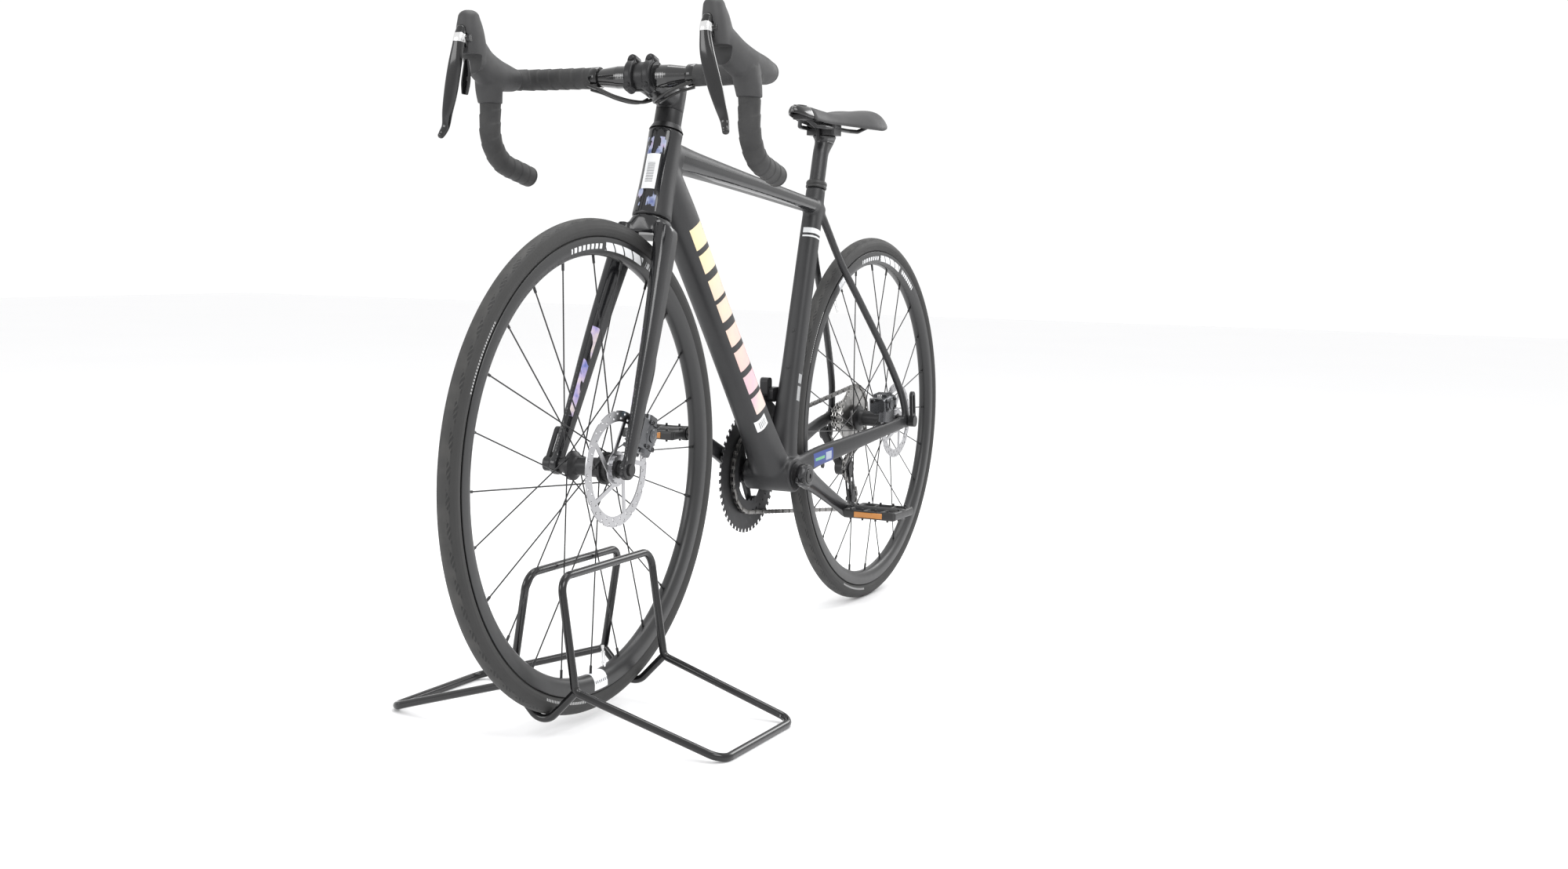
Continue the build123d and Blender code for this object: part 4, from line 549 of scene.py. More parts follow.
def in_line(place, direction, *rows):
    """Stations that share one direction; place turns each row's first number into a point."""
    return [(place(at), direction, width, depth, power) for at, width, depth, power in rows]


def lathe(profile, centre, count=96, closed=True, axis=Y, zero=X):
    """Profile of (radius, distance along axis) turned about the axis through centre."""
    third = axis.cross(zero)
    rings = []
    for i in range(count):
        a = 2 * math.pi * i / count
        out = zero * math.cos(a) + third * math.sin(a)
        rings.append([centre + out * r + axis * t for r, t in profile])
    verts = [p for r in rings for p in r]
    n = len(profile)
    faces = []
    for i in range(count):
        j = (i + 1) % count
        for k in range(n if closed else n - 1):
            m = (k + 1) % n
            faces.append((i * n + k, j * n + k, j * n + m, i * n + m))
    return verts, faces


def rod_between(start, end, radius, count=16, edge=0.6):
    """A chamfered round rod."""
    run = end - start
    d = run.normalized()
    a = d.orthogonal().normalized()
    b = d.cross(a)
    steps = ((0, radius - edge), (edge, radius), (run.length - edge, radius), (run.length, radius - edge))
    return skin([ring(start + d * t, a, b, 2 * r, 2 * r, 2, count) for t, r in steps])


def round_box(centre, size, edge=1.5, axes=(X, Y, Z)):
    """A box with chamfered edges; axes are three unit vectors."""
    hx, hy, hz = (s / 2 for s in size)
    rings = []
    for z, inset in ((-hz, edge), (-hz + edge, 0), (hz - edge, 0), (hz, edge)):
        x, y, e = hx - inset, hy - inset, edge
        corners = [(x, y - e), (x - e, y), (-x + e, y), (-x, y - e),
                   (-x, -y + e), (-x + e, -y), (x - e, -y), (x, -y + e)]
        rings.append([centre + axes[0] * p + axes[1] * q + axes[2] * z for p, q in corners])
    return skin(rings)


def merged(*solids):
    verts, faces = [], []
    for v, f in solids:
        base = len(verts)
        verts += list(v)
        faces += [tuple(i + base for i in face) for face in f]
    return verts, faces


def sweep(path, radius_at, count=40, caps=True):
    """A tube along a list of points; radius_at(distance, share of a turn) gives the surface."""
    points = [V(p) for p in path]
    last = len(points) - 1
    tangents = [(points[min(i + 1, last)] - points[max(i - 1, 0)]).normalized() for i in range(last + 1)]
    first = tangents[0].orthogonal().normalized()
    rings, travelled = [], 0.0
    for i, (p, t) in enumerate(zip(points, tangents)):
        first = (first - t * first.dot(t)).normalized()
        second = t.cross(first)
        if i:
            travelled += (p - points[i - 1]).length
        turns = [2 * math.pi * k / count for k in range(count)]
        rings.append([p + (first * math.cos(a) + second * math.sin(a)) * radius_at(travelled, k / count)
                      for k, a in enumerate(turns)])
    return skin(rings, caps)


def rounded_path(points, radii, step):
    """Straight runs joined by arcs, as points about step mm apart."""
    pts = [V(p) for p in points]
    out = [pts[0]]

    def run_to(end):
        start = out[-1]
        n = max(1, int((end - start).length / step))
        out.extend(start.lerp(end, (k + 1) / n) for k in range(n))

    for before, corner, after, radius in zip(pts, pts[1:], pts[2:], radii):
        d_in, d_out = (corner - before).normalized(), (after - corner).normalized()
        turn = d_in.angle(d_out)
        if turn < 1e-4:
            run_to(corner)
            continue
        trim = radius * math.tan(turn / 2)
        run_to(corner - d_in * trim)
        normal = (d_out - d_in * d_in.dot(d_out)).normalized()
        centre = corner - d_in * trim + normal * radius
        n = max(3, int(radius * turn / step))
        for k in range(1, n + 1):
            a = turn * k / n
            out.append(centre - normal * radius * math.cos(a) + d_in * radius * math.sin(a))
    run_to(pts[-1])
    return out


def bake(obj):
    """The object's mesh with its modifiers applied."""
    bpy.context.view_layer.update()
    return bpy.data.meshes.new_from_object(obj.evaluated_get(bpy.context.evaluated_depsgraph_get()))


def soften(mesh, soft_spots, flip):
    """Smooths a mesh near (point, radius, rounds) spots."""
    count = len(mesh.vertices)
    co = np.zeros(count * 3)
    mesh.vertices.foreach_get("co", co)
    co = co.reshape(-1, 3) * 1000
    pairs = np.zeros(len(mesh.edges) * 2, int)
    mesh.edges.foreach_get("vertices", pairs)
    a, b = pairs.reshape(-1, 2).T
    degree = np.bincount(a, minlength=count) + np.bincount(b, minlength=count)
    for point, radius, rounds in soft_spots:
        centre = np.array((point[0], -point[1] if flip else point[1], point[2]))
        near = np.clip(1 - np.linalg.norm(co - centre, axis=1) / radius, 0, 1)
        weight = (near * near * (3 - 2 * near))[:, None] * 0.6
        for _ in range(rounds):
            total = np.zeros_like(co)
            for axis in range(3):
                total[:, axis] = np.bincount(a, co[b, axis], count) + np.bincount(b, co[a, axis], count)
            co += weight * (total / degree[:, None] - co)
    mesh.vertices.foreach_set("co", (co / 1000).ravel())
    mesh.update()


def fuse(name, solids, voxel, rounds, mat, body_name, stands_for=(), soft_spots=(), flip=False,
         cutters=()):
    """Unites closed solids with a voxel remesh, smooths them and cuts the cutters out."""
    raw = make(name + "_raw", *merged(*solids), mat, None, flip)
    remesh = raw.modifiers.new("remesh", "REMESH")
    remesh.mode, remesh.voxel_size = "VOXEL", voxel / 1000
    relax = raw.modifiers.new("relax", "SMOOTH")
    relax.factor, relax.iterations = 0.5, rounds
    mesh = bake(raw)
    bpy.data.objects.remove(raw)
    mesh.name = name
    obj = bpy.data.objects.new(name, mesh)
    bpy.context.scene.collection.objects.link(obj)
    mesh.materials.clear()
    mesh.materials.append(mat)
    if soft_spots:
        soften(mesh, soft_spots, flip)
    for number, (verts, faces) in enumerate(cutters):
        tool = make(f"{name}_cut{number}", verts, faces, mat, None, flip)
        cut = obj.modifiers.new("cut", "BOOLEAN")
        cut.operation, cut.object, cut.solver = "DIFFERENCE", tool, "EXACT"
        carved = bake(obj)
        obj.modifiers.clear()
        obj.data = carved
        bpy.data.objects.remove(tool)
    smooth(obj, 50 if cutters else None)
    return finish(obj, body_name, stands_for)


# ---------------------------------------------------------------- camera, floor and light
CAMERA_PLACE_M, CAMERA_LENS = (2.48254, 1.23178, 0.65297), 39.222
CAMERA_RIGHT, CAMERA_UP = V((-0.42923, 0.90302, 0.01801)), V((-0.0894, -0.06232, 0.99404))
CAMERA_AHEAD = V((-0.89876, -0.42506, -0.10748))


def setting():
    camera = bpy.data.objects.new("camera", bpy.data.cameras.new("camera"))
    turn = Matrix((CAMERA_RIGHT, CAMERA_UP, -CAMERA_AHEAD)).transposed().to_4x4()
    camera.matrix_world = Matrix.Translation(CAMERA_PLACE_M) @ turn
    camera.data.lens, camera.data.sensor_width, camera.data.sensor_fit = CAMERA_LENS, 36, "HORIZONTAL"
    camera.data.clip_end = 60
    bpy.context.scene.collection.objects.link(camera)
    bpy.context.scene.camera = camera
    floor_mesh = bpy.data.meshes.new("floor")
    floor_mesh.from_pydata([(-14, -14, 0), (14, -14, 0), (14, 14, 0), (-14, 14, 0)], [], [(0, 1, 2, 3)])
    floor = bpy.data.objects.new("floor", floor_mesh)
    bpy.context.scene.collection.objects.link(floor)
    paint = Shade("floor_paint", (0.93, 0.93, 0.935), 0.5)
    paint.mix(paint.noise(900, 2).over(0.5, 0.8) * 0.5, (0.9, 0.9, 0.91))
    floor_mesh.materials.append(paint.done())
    world = bpy.data.worlds.new("world")
    world.use_nodes = True
    world.node_tree.nodes["Background"].inputs[0].default_value = (1, 1, 1, 1)
    world.node_tree.nodes["Background"].inputs[1].default_value = 1.04
    bpy.context.scene.world = world
    bpy.context.scene.view_settings.view_transform = "Standard"
    for name, place, target, size, power in (
        ("key", (1.6, 2.6, 2.9), (0, 0, 0.5), 2.2, 55),
        ("fill", (3.0, -1.8, 1.6), (0, 0, 0.5), 1.8, 26),
        ("top", (-0.4, 0.2, 3.4), (0, 0, 0.3), 2.6, 60),
        ("back", (-2.8, 1.2, 1.8), (0, 0, 0.6), 1.6, 26),
    ):
        light = bpy.data.objects.new(name, bpy.data.lights.new(name, "AREA"))
        light.data.shape, light.data.size, light.data.size_y = "RECTANGLE", size, size * 0.6
        light.data.energy = power
        light.location = place
        light.rotation_euler = (V(target) - V(place)).to_track_quat("-Z", "Y").to_euler()
        bpy.context.scene.collection.objects.link(light)


# ---------------------------------------------------------------- frame and fork
def between(start, end, share):
    return start + (end - start) * share


def make_frame():
    down, top = (BB - DOWN_TOP).normalized(), (TOP_REAR - TOP_FRONT).normalized()
    on_down = lambda share: between(DOWN_TOP, BB, share)
    on_top = lambda share: between(TOP_FRONT, TOP_REAR, share)
    solids = [
        body(in_line(steer_point, STEER, (HEAD_LOW + 0.6, 58, 58, 2), (HEAD_LOW + 20, 54, 56, 2.05),
                     (HEAD_LOW + 60, 49, 52, 2.1), (HEAD_TOP - 20, 48, 50, 2.05),
                     (HEAD_TOP - 0.4, 49.6, 49.6, 2))),
        body(in_line(on_down, down, (-0.02, 40, 58, 2.4), (0.1, 47, 62, 2.5), (0.25, 48, 56, 2.9),
                     (0.5, 47, 52, 3.0),
                     (0.8, 50, 54, 2.9), (0.93, 62, 52, 2.9), (1.01, 74, 46, 2.8)), 8, 40),
        body(in_line(on_top, top, (-0.02, 38, 44, 2.3), (0.06, 43, 43, 2.6), (0.16, 44, 36, 2.9),
                     (0.5, 43, 28, 3.1),
                     (0.85, 38, 24, 2.9), (1.0, 33, 24, 2.6))
             + [(on_top(1.02) + V((-6, 0, -7)), (-0.8, 0, -0.6), 32, 20, 2.4)], 8, 40),
        body(in_line(seat_point, SEAT, (283, 62, 48, 2.6), (345, 45, 42, 2.6), (430, 35, 38, 2.7),
                     (560, 33, 36, 2.8),
                     (700, 32.5, 34.5, 2.5), (742, 33, 34, 2.1)) + [(SEAT_TOP, SEAT, 33, 33, 2)], 8, 40),
        lathe([(0.01, -43), (27.6, -43), (29, -41.6), (29, 41.6), (27.6, 43), (0.01, 43)], BB, 64, False),
    ]
    for side in (1, -1):
        on_side = lambda x, y, z: V((x, side * y, z))
        end_plate = [(0.01, 71.2), (12.6, 71.2), (13.2, 72), (13.2, 81), (12.4, 81.8), (0.01, 81.8)]
        solids += [
            body(placed(
                on_side,
                ((-215, 6, 724), (-0.9, 0, -0.3), 15, 19, 2.3),
                ((-235, 9.5, 714), (-0.7, 0, -0.7), 14, 17, 2.3),
                ((-252, 14, 691), (-0.6, 0, -0.8), 13, 15, 2.2),
                ((-290, 24, 634), (-0.62, 0, -0.78), 12.5, 14, 2.3),
                ((-355, 38, 559), (-0.62, 0, -0.78), 12, 14, 2.4),
                ((-424, 55, 475), (-0.6, 0, -0.8), 12, 14, 2.4),
                ((-470, 67, 410), (-0.5, 0, -0.87), 12, 15, 2.4),
                ((-487, 73, 375), (-0.3, 0, -0.95), 11, 19, 2.4),
                ((-493, 76, 345), (-0.12, 0, -1), 10.5, 24, 2.5)), 6, 24),
            body(placed(
                on_side,
                ((-79, 19, 280), (-1, 0, 0.1), 32, 46, 2.6), ((-115, 23.5, 285), (-1, 0, 0.12), 22, 41, 2.7),
                ((-150, 27, 291), (-1, 0, 0.12), 15.5, 38, 2.8),
                ((-200, 34, 301), (-1, 0, 0.12), 14.5, 35, 2.8),
                ((-260, 45, 309), (-1, 0, 0.12), 13.5, 32, 2.8),
                ((-400, 67, 328), (-1, 0, 0.12), 12, 25, 2.7),
                ((-462, 74, 335), (-1, 0, 0.12), 10.5, 24, 2.6),
                ((-497, 76, 339), (-1, 0, 0.1), 10, 22, 2.4)), 6, 28),
            lathe([(r, side * y) for r, y in end_plate][::side], V((HUB_R.x, 0, HUB_R.z)), 40, False),
        ]
    hanger_low = HUB_R - V((0, 0, 32))
    solids.append(body([(HUB_R + V((0, -77.3, 4)), -Z, 7, 19, 2.6),
                        (hanger_low + V((0, -77.3, 2)), -Z, 7, 18, 2.6),
                        (hanger_low + V((0, -77.3, -8)), -Z, 6.5, 10, 2.2)], 6, 24))
    bore = rod_between(SEAT_TOP - SEAT * 232, SEAT_TOP + SEAT * 14, 13.72, 40, 0.1)
    spots = [((-222, 0, 716), 34, 14), (tuple(on_down(0.06) + V((-24, 0, 6))), 52, 40),
             (tuple(steer_point(HEAD_TOP - 34, -30)), 44, 26), (tuple(BB + V((6, 0, 56))), 52, 50),
             ((-112, 0, 300), 44, 20), ((-484, 76, 352), 22, 10), ((-484, -76, 352), 22, 10)]
    fuse("frame_shell", solids, 2.1, 6, MATS["frame"], "frame", ("frame",), spots, cutters=[bore])
    normal = V((SEAT.z, 0, -SEAT.x))
    for spot in (seat_point(512.5) + normal * 17.9, seat_point(512.5) - SEAT * 64 + normal * 18.4):
        a = normal.orthogonal().normalized()
        head = lathe([(0.01, 1.5), (2.6, 1.5), (3.4, 1.1), (3.6, 0.4), (3.6, -1.5), (0.01, -1.5)],
                     spot, 24, False, normal, a)
        socket = lathe([(0.01, 1.56), (1.5, 1.56), (1.6, 1.5), (1.6, 0.4), (0.01, 0.4)], spot, 6, False,
                       normal, a)
        make(f"boss_bolt_{round(spot.z)}", *merged(head, socket), MATS["matte"], "frame", slot="frame",
             angle=40)


def make_fork():
    top = steer_point(HEAD_LOW - 14, 6)
    run = HUB_F - top
    end_plate = [(0.01, 50.2), (13.4, 50.2), (14.4, 51), (14.4, 60.6), (13.4, 61.4), (0.01, 61.4)]

    def leg(share, y, width, depth, power=2.4):
        centre = top + run * share
        return V((centre.x, y, centre.z)), run, width, depth, power

    solids = [body([(steer_point(HEAD_LOW - 0.4), STEER, 57, 57, 2),
                    (steer_point(HEAD_LOW - 7), STEER, 62, 57, 2.1),
                    (steer_point(HEAD_LOW - 16), STEER, 76, 53, 2.5),
                    (steer_point(346, 1), STEER, 82, 46, 2.7)], 6, 48)]
    for side in (1, -1):
        solids += [
            body([leg(0.0, side * 30.5, 28, 46), leg(0.06, side * 33, 27, 47),
                  leg(0.14, side * 36, 24.5, 45),
                  leg(0.3, side * 41, 22, 41), leg(0.5, side * 46.5, 19.5, 36), leg(0.72, side * 51, 16, 30),
                  leg(0.9, side * 54.8, 13, 26), leg(0.98, side * 56.4, 11.6, 25, 2.3)], 6, 32),
            lathe([(r, side * y) for r, y in end_plate][::side], V((HUB_F.x, 0, HUB_F.z)), 40, False),
        ]
    spots = [(tuple(steer_point(352, 0, 34)), 40, 24), (tuple(steer_point(352, 0, -34)), 40, 24),
             ((489, 56, 368), 22, 10), ((489, -56, 368), 22, 10)]
    fuse("fork_shell", solids, 1.8, 6, MATS["fork"], "fork", ("fork",), spots)


# ---------------------------------------------------------------- wheels
def make_wheel(label, centre, valve_angle):
    tyre_mid, tyre_radius, tyre_hollow, wheel = 325.0, 14.0, 11.6, f"{label}_wheel"

    def tread_point(radius, degrees):
        return tyre_mid + radius * math.cos(math.radians(degrees)), radius * math.sin(math.radians(degrees))

    outer = [tread_point(tyre_radius, -142 + 284 * i / 28) for i in range(29)]
    bead = [(313.0, 9.0), (308.5, 9.3), (308.0, 7.4), (313.5, 6.8)]
    hollow = [tread_point(tyre_hollow, 140 - 280 * i / 20) for i in range(21)]
    profile = outer + bead + hollow + [(r, -t) for r, t in reversed(bead)]
    make(f"{label}_tyre_body", *lathe(profile, centre, 288),
         wheel_material(f"{label}_tyre_rubber", centre, valve_angle, False),
         wheel, slot="tyres", stands_for=(f"{label}_tyre",), angle=55)
    half = [(313.2, 9.7), (313.9, 10.4), (313.9, 11.3), (313.2, 12.0), (310, 12.2), (303, 12.25),
            (298, 11.4),
            (293, 8.9), (290.4, 6.2), (289.2, 3.2)]
    well = [(302.5, 0), (302.5, 3.5), (305, 8.6), (312.4, 9.6)]
    profile = (half + [(289.0, 0.0)] + [(r, -t) for r, t in reversed(half)]
               + [(r, -t) for r, t in reversed(well[1:])] + well)
    make(f"{label}_rim_body", *lathe(profile, centre, 288),
         wheel_material(f"{label}_rim_finish", centre, valve_angle, True),
         wheel, slot="rims", stands_for=(f"{label}_rim",), angle=35)


# ---------------------------------------------------------------- handlebar, tape and levers
DROP_LOW = BAR.z - 116
DROP_END = V((BAR.x - 12, BAR_Y - 2, BAR.z - 138))


def make_cockpit():
    inner_end = V((BAR.x, 76, BAR.z))
    route = [inner_end, V((BAR.x, BAR_Y - 2, BAR.z)), V((BAR.x + 79, BAR_Y, BAR.z - 5)),
             V((BAR.x + 81, BAR_Y + 2, DROP_LOW)), DROP_END]
    path = rounded_path(route, (30, 30, 58), 0.8)

    def wrap(turns):
        def radius_at(s, share):
            phase = (s / TAPE_PITCH + turns * share) % 1.0
            lap = phase / 0.12 if phase < 0.12 else 1 - (phase - 0.12) / 0.88
            start = min(1.0, s / 3.0)
            return TAPE_RADIUS + 0.5 * start + 0.85 * lap
        return radius_at

    for flip, name in ((False, "left"), (True, "right")):
        make(f"bar_tape_wrap_{name}", *sweep(path, wrap(1 if flip else -1), 44), MATS["tape"], "fork", flip,
             "tape",
             ("bar_tape",) if not flip else ())
        band = lathe([(12.4, -4), (15.0, -4.2), (15.5, -3.6), (15.5, 7.6), (15.0, 8.2), (12.4, 8)],
                     inner_end, 48)
        make(f"tape_band_{name}", *band, MATS["gloss"], "fork", flip, "plugs", angle=40)
        make_hood(name, flip)
        make_lever(name, flip)


def bar_point(dx, dy, dz):
    return V((BAR.x + dx, BAR_Y + dy, BAR.z + dz))


PIVOT = V((BAR.x + 166, BAR_Y - 15, BAR.z + 41))
TIP = V((BAR.x + 172, BAR_Y + 12, BAR.z - 88))


def from_pivot(dx, dy, dz):
    return PIVOT + V((dx, dy, dz))


def make_hood(name, flip):
    solids = [
        body(placed(
            bar_point,
            ((30, -1, -2), (1, 0, 0), 33, 34, 2.1), ((48, -1, -1), (1, 0, 0), 35.5, 39, 2.3),
            ((78, -3, 1), (1, -0.05, 0.14), 37, 46, 2.4), ((108, -6, 10), (1, -0.1, 0.35), 34, 47, 2.5),
            ((132, -10, 24), (1, -0.1, 0.62), 32, 46, 2.5), ((146, -12, 34), (1, -0.1, 0.8), 30, 42, 2.4)),
             8, 40, blunt=False),
        body(placed(
            bar_point,
            ((80, 1, -40), (0, 0, 1), 34, 34, 2.1), ((84, 0, -22), (0.1, 0, 1), 36, 38, 2.3),
            ((88, -2, 0), (0.3, 0, 1), 36, 42, 2.4)), 8, 40),
        body(placed(
            bar_point,
            ((136, -11, 10), (0.35, -0.1, 1), 30, 42, 2.4),
            ((143, -12.5, 32), (0.28, -0.08, 1), 32.5, 46, 2.6),
            ((149.5, -14, 54), (0.2, -0.05, 1), 31, 42, 2.5), ((153, -15, 70), (0.1, 0, 1), 26, 33, 2.3)),
             8, 40, blunt=False),
    ]
    spots = [(tuple(bar_point(124, -9, 34)), 34, 14), (tuple(bar_point(96, -4, -16)), 26, 12)]
    mouth = round_box(from_pivot(20, 0, -14), (46, 15.6, 44), 2)
    swing = round_box(from_pivot(8, 1, -40), (70, 60, 40), 2)
    fuse(f"hood_{name}", solids, 1.5, 5, MATS["hood"], "fork", ("shifters",) if not flip else (),
         spots, flip,
         [mouth, swing])
    core = body(placed(
        from_pivot,
        ((-3, 0, 12), (0.1, 0, -1), 14.6, 15, 3), ((-7, 0, -4), (0, 0, -1), 14.4, 16, 3),
        ((-14, 0, -18), (-0.2, 0, -1), 13.5, 15, 3)), 6, 24)
    pin = rod_between(from_pivot(-2, -11.6, 0), from_pivot(-2, 11.6, 0), 5.2, 20)
    make(f"bracket_{name}", *merged(core, pin), MATS["gloss"], "fork", flip, "levers", angle=45)


def make_lever(name, flip):
    lever, paddle = f"brake_lever_{name}", f"shift_paddle_{name}"
    blade = body(placed(
        from_pivot,
        ((3, 0, 12), (0.25, 0, -1), 13, 14, 2.6), ((7, 0, 2), (0.2, 0, -1), 14.4, 16, 2.8),
        ((10, 1, -12), (0.12, 0.1, -1), 15.4, 14.5, 2.9), ((12, 4, -32), (0, 0.16, -1), 19, 12, 3.0),
        ((11, 9.5, -56), (-0.05, 0.2, -1), 20.5, 10.5, 3.0),
        ((9, 15.2, -78), (-0.07, 0.22, -1), 19.8, 9.5, 2.9),
        ((7, 21.4, -100), (-0.05, 0.24, -1), 15.8, 9, 2.7)) + placed(
        lambda *offset: TIP + V(offset),
        ((-2, -0.8, 11), (0.15, 0.24, -1), 12, 8.6, 2.5), ((1, 2.2, 1.6), (0.5, 0.24, -0.9), 10.4, 9.4, 2.3),
        ((3.5, 3.8, -2.9), (0.9, 0.2, -0.5), 9.6, 8.6, 2.1)), 8, 28, blunt=False)
    make(f"lever_blade_{name}", *blade, MATS["gloss"], lever, flip, "levers", (lever,))
    cap = body(placed(
        from_pivot,
        ((5.6, 0, 4.5), (0.22, 0, -1), 15.2, 17, 2.8), ((7.2, 0.1, -1.5), (0.2, 0, -1), 16, 18, 2.9),
        ((8.6, 0.4, -6.5), (0.15, 0.05, -1), 15.2, 17, 2.9)), 6, 28)
    make(f"lever_band_{name}", *cap, MATS["silver"], lever, flip, "bolts")
    leaf = body(placed(
        from_pivot,
        ((-4, -3, -30), (0, 0.1, -1), 8, 5.4, 2.4), ((-5, -2, -44), (0, 0.12, -1), 13, 5, 2.6),
        ((-5.6, 0, -60), (0, 0.14, -1), 15, 4.8, 2.6), ((-6.4, 2, -74), (0, 0.15, -1), 11, 4.4, 2.4)),
                6, 24, blunt=False)
    bump = body(placed(from_pivot, ((-5.6, -5, -54), Y, 6, 10, 2.2), ((-5.6, 5, -56), Y, 5, 9, 2.2)), 6, 20,
                X)
    make(f"shift_blade_{name}", *merged(leaf, bump), MATS["gloss"], paddle, flip, "levers", (paddle,))


def make_stem():
    on_stem = lambda reach: FOOT + STEER * 555 + AHEAD * reach
    solids = [
        body(in_line(steer_point, STEER, (535.2, 40, 40, 2), (548, 40, 40.5, 2.05), (564, 40, 40.5, 2.05),
                     (574, 39.5, 39.5, 2), (577, 37, 37, 2)), 6, 48),
        body(in_line(on_stem, AHEAD, (2, 36, 38, 2.6), (24, 37, 36, 2.8), (46, 36.5, 34, 2.9),
                     (66, 40, 35, 2.9),
                     (77, 43.5, 37, 3)), 6, 40),
        lathe([(0.01, -22), (19.6, -22), (20.6, -21), (20.6, 21), (19.6, 22), (0.01, 22)], BAR, 64, False),
    ]
    cut_front = round_box(on_stem(82.4 + 25), (50, 90, 90), 0.1, (AHEAD, Y, STEER))
    cut_bar = rod_between(BAR - Y * 40, BAR + Y * 40, 15.95, 48, 0.1)
    fuse("stem_shell", solids, 1.3, 4, MATS["satin"], "fork", ("stem",),
         [(tuple(steer_point(556, 22)), 26, 16)], cutters=[cut_front, cut_bar])
    boss = [(0.01, 14.2), (3.2, 14.2), (3.9, 13.4), (4.1, 12.4), (6.6, 11.6), (7.2, 8.6), (7.2, -3),
            (0.01, -3)]
    for side, name in ((1, "left"), (-1, "right")):
        rib = []
        for i in range(15):
            a = math.radians(-90 + 180 * i / 14)
            out = AHEAD * math.cos(a) + STEER * math.sin(a)
            rib.append(ring(BAR + AHEAD * 2.5 + Y * side * 14.5 + out * 20.6, Y, out, 12.5, 7.5, 3.2, 24))
        make(f"faceplate_rib_{name}", *skin(rib), MATS["satin"], "fork", slot="black_alloy")
        for up, level in ((20, "upper"), (-20, "lower")):
            seat = BAR + AHEAD * 6.5 + STEER * up + Y * side * 14.5
            make(f"stem_boss_{level}_{name}", *lathe(boss, seat, 28, False, AHEAD, Y), MATS["satin"], "fork",
                 slot="black_alloy", angle=35)


# ---------------------------------------------------------------- saddle and post
def saddle_slice(row, swell=0.0):
    """The closed outline of the saddle's shell at one length, for one row of saddle_rows."""
    x, half, top, drop, thick = row
    power = 3.1 + 1.5 * min(1.0, max(0.0, (-285 - x) / 50))
    count = 25
    points = []
    for i in range(count):
        t = -1 + 2 * i / (count - 1)
        dip = -1.2 * math.exp(-(t / 0.22) ** 2)
        z = top + dip - drop * abs(t) ** power
        points.append(V((x, t * half * (1 + swell), z + swell * 8)))
    for i in range(count):
        t = 1 - 2 * i / (count - 1)
        z = top - drop * abs(t) ** power - thick * (1 - 0.55 * abs(t) ** 6) - (1 - abs(t) ** 8) * 2
        squeeze = 0.955 if abs(t) > 0.9 else 0.99
        points.append(V((x, t * half * squeeze, z)))
    return points


def rounded(obj):
    """Gives a piece one level of subdivision."""
    soft = obj.modifiers.new("round", "SUBSURF")
    soft.levels = soft.render_levels = 1
    return obj


def make_saddle():
    # x, half width, top height, edge drop, edge thickness
    saddle_rows = [
        (-131.5, 3.5, 888.5, 5.5, 5), (-135, 8, 891.6, 8, 7), (-142, 12.5, 893.6, 11, 8.5),
        (-152, 16, 894.6, 14, 9.5),
        (-172, 19, 895.2, 17, 10), (-200, 22, 894, 19, 10.5), (-232, 26, 891.8, 19, 10.5),
        (-262, 33, 890.4, 18, 10),
        (-290, 43, 891.4, 20, 10.5), (-318, 56, 894.8, 25, 11.5), (-344, 66.5, 899, 30, 12.5),
        (-366, 71, 902, 33, 12.5), (-384, 70, 903.4, 31, 12), (-396, 64, 902.4, 26, 11),
        (-402, 54, 898.5, 20, 9)]
    samples = spline(saddle_rows, 6)
    nose_end, insert_front = -181, -147
    cover = skin([saddle_slice(r) for r in samples if r[0] <= nose_end])
    shell = rounded(make("saddle_cover_skin", *cover, MATS["saddle"], None))
    finish(shell, "saddle", ("saddle_cover",))
    nose = skin([saddle_slice(r, 0.02) for r in samples if r[0] >= nose_end - 3])
    finish(rounded(make("saddle_nose_shell", *nose, MATS["gloss"], None)), "saddle")
    insert = []
    for x, half, top, drop, _ in samples:
        if nose_end + 4 <= x <= insert_front:
            share = min(1, max(0.04, (x - nose_end - 2) / (insert_front - nose_end + 2)))
            width = half * 0.55 * math.sin(math.pi * share) ** 0.5
            insert.append([V((x, t * width, top + 1.0 - 1.2 * math.exp(-(t * width / half / 0.22) ** 2)
                              - drop * abs(t * width / half) ** 3.1 + lift))
                           for lift, way in ((0.35, 1), (-1.5, -1)) for t in (-1, -0.5, 0, 0.5, 1)[::way]])
    make("saddle_nose_insert", *skin(insert), MATS["matte"], "saddle", slot="saddle_sockets", angle=50)
    make_post()


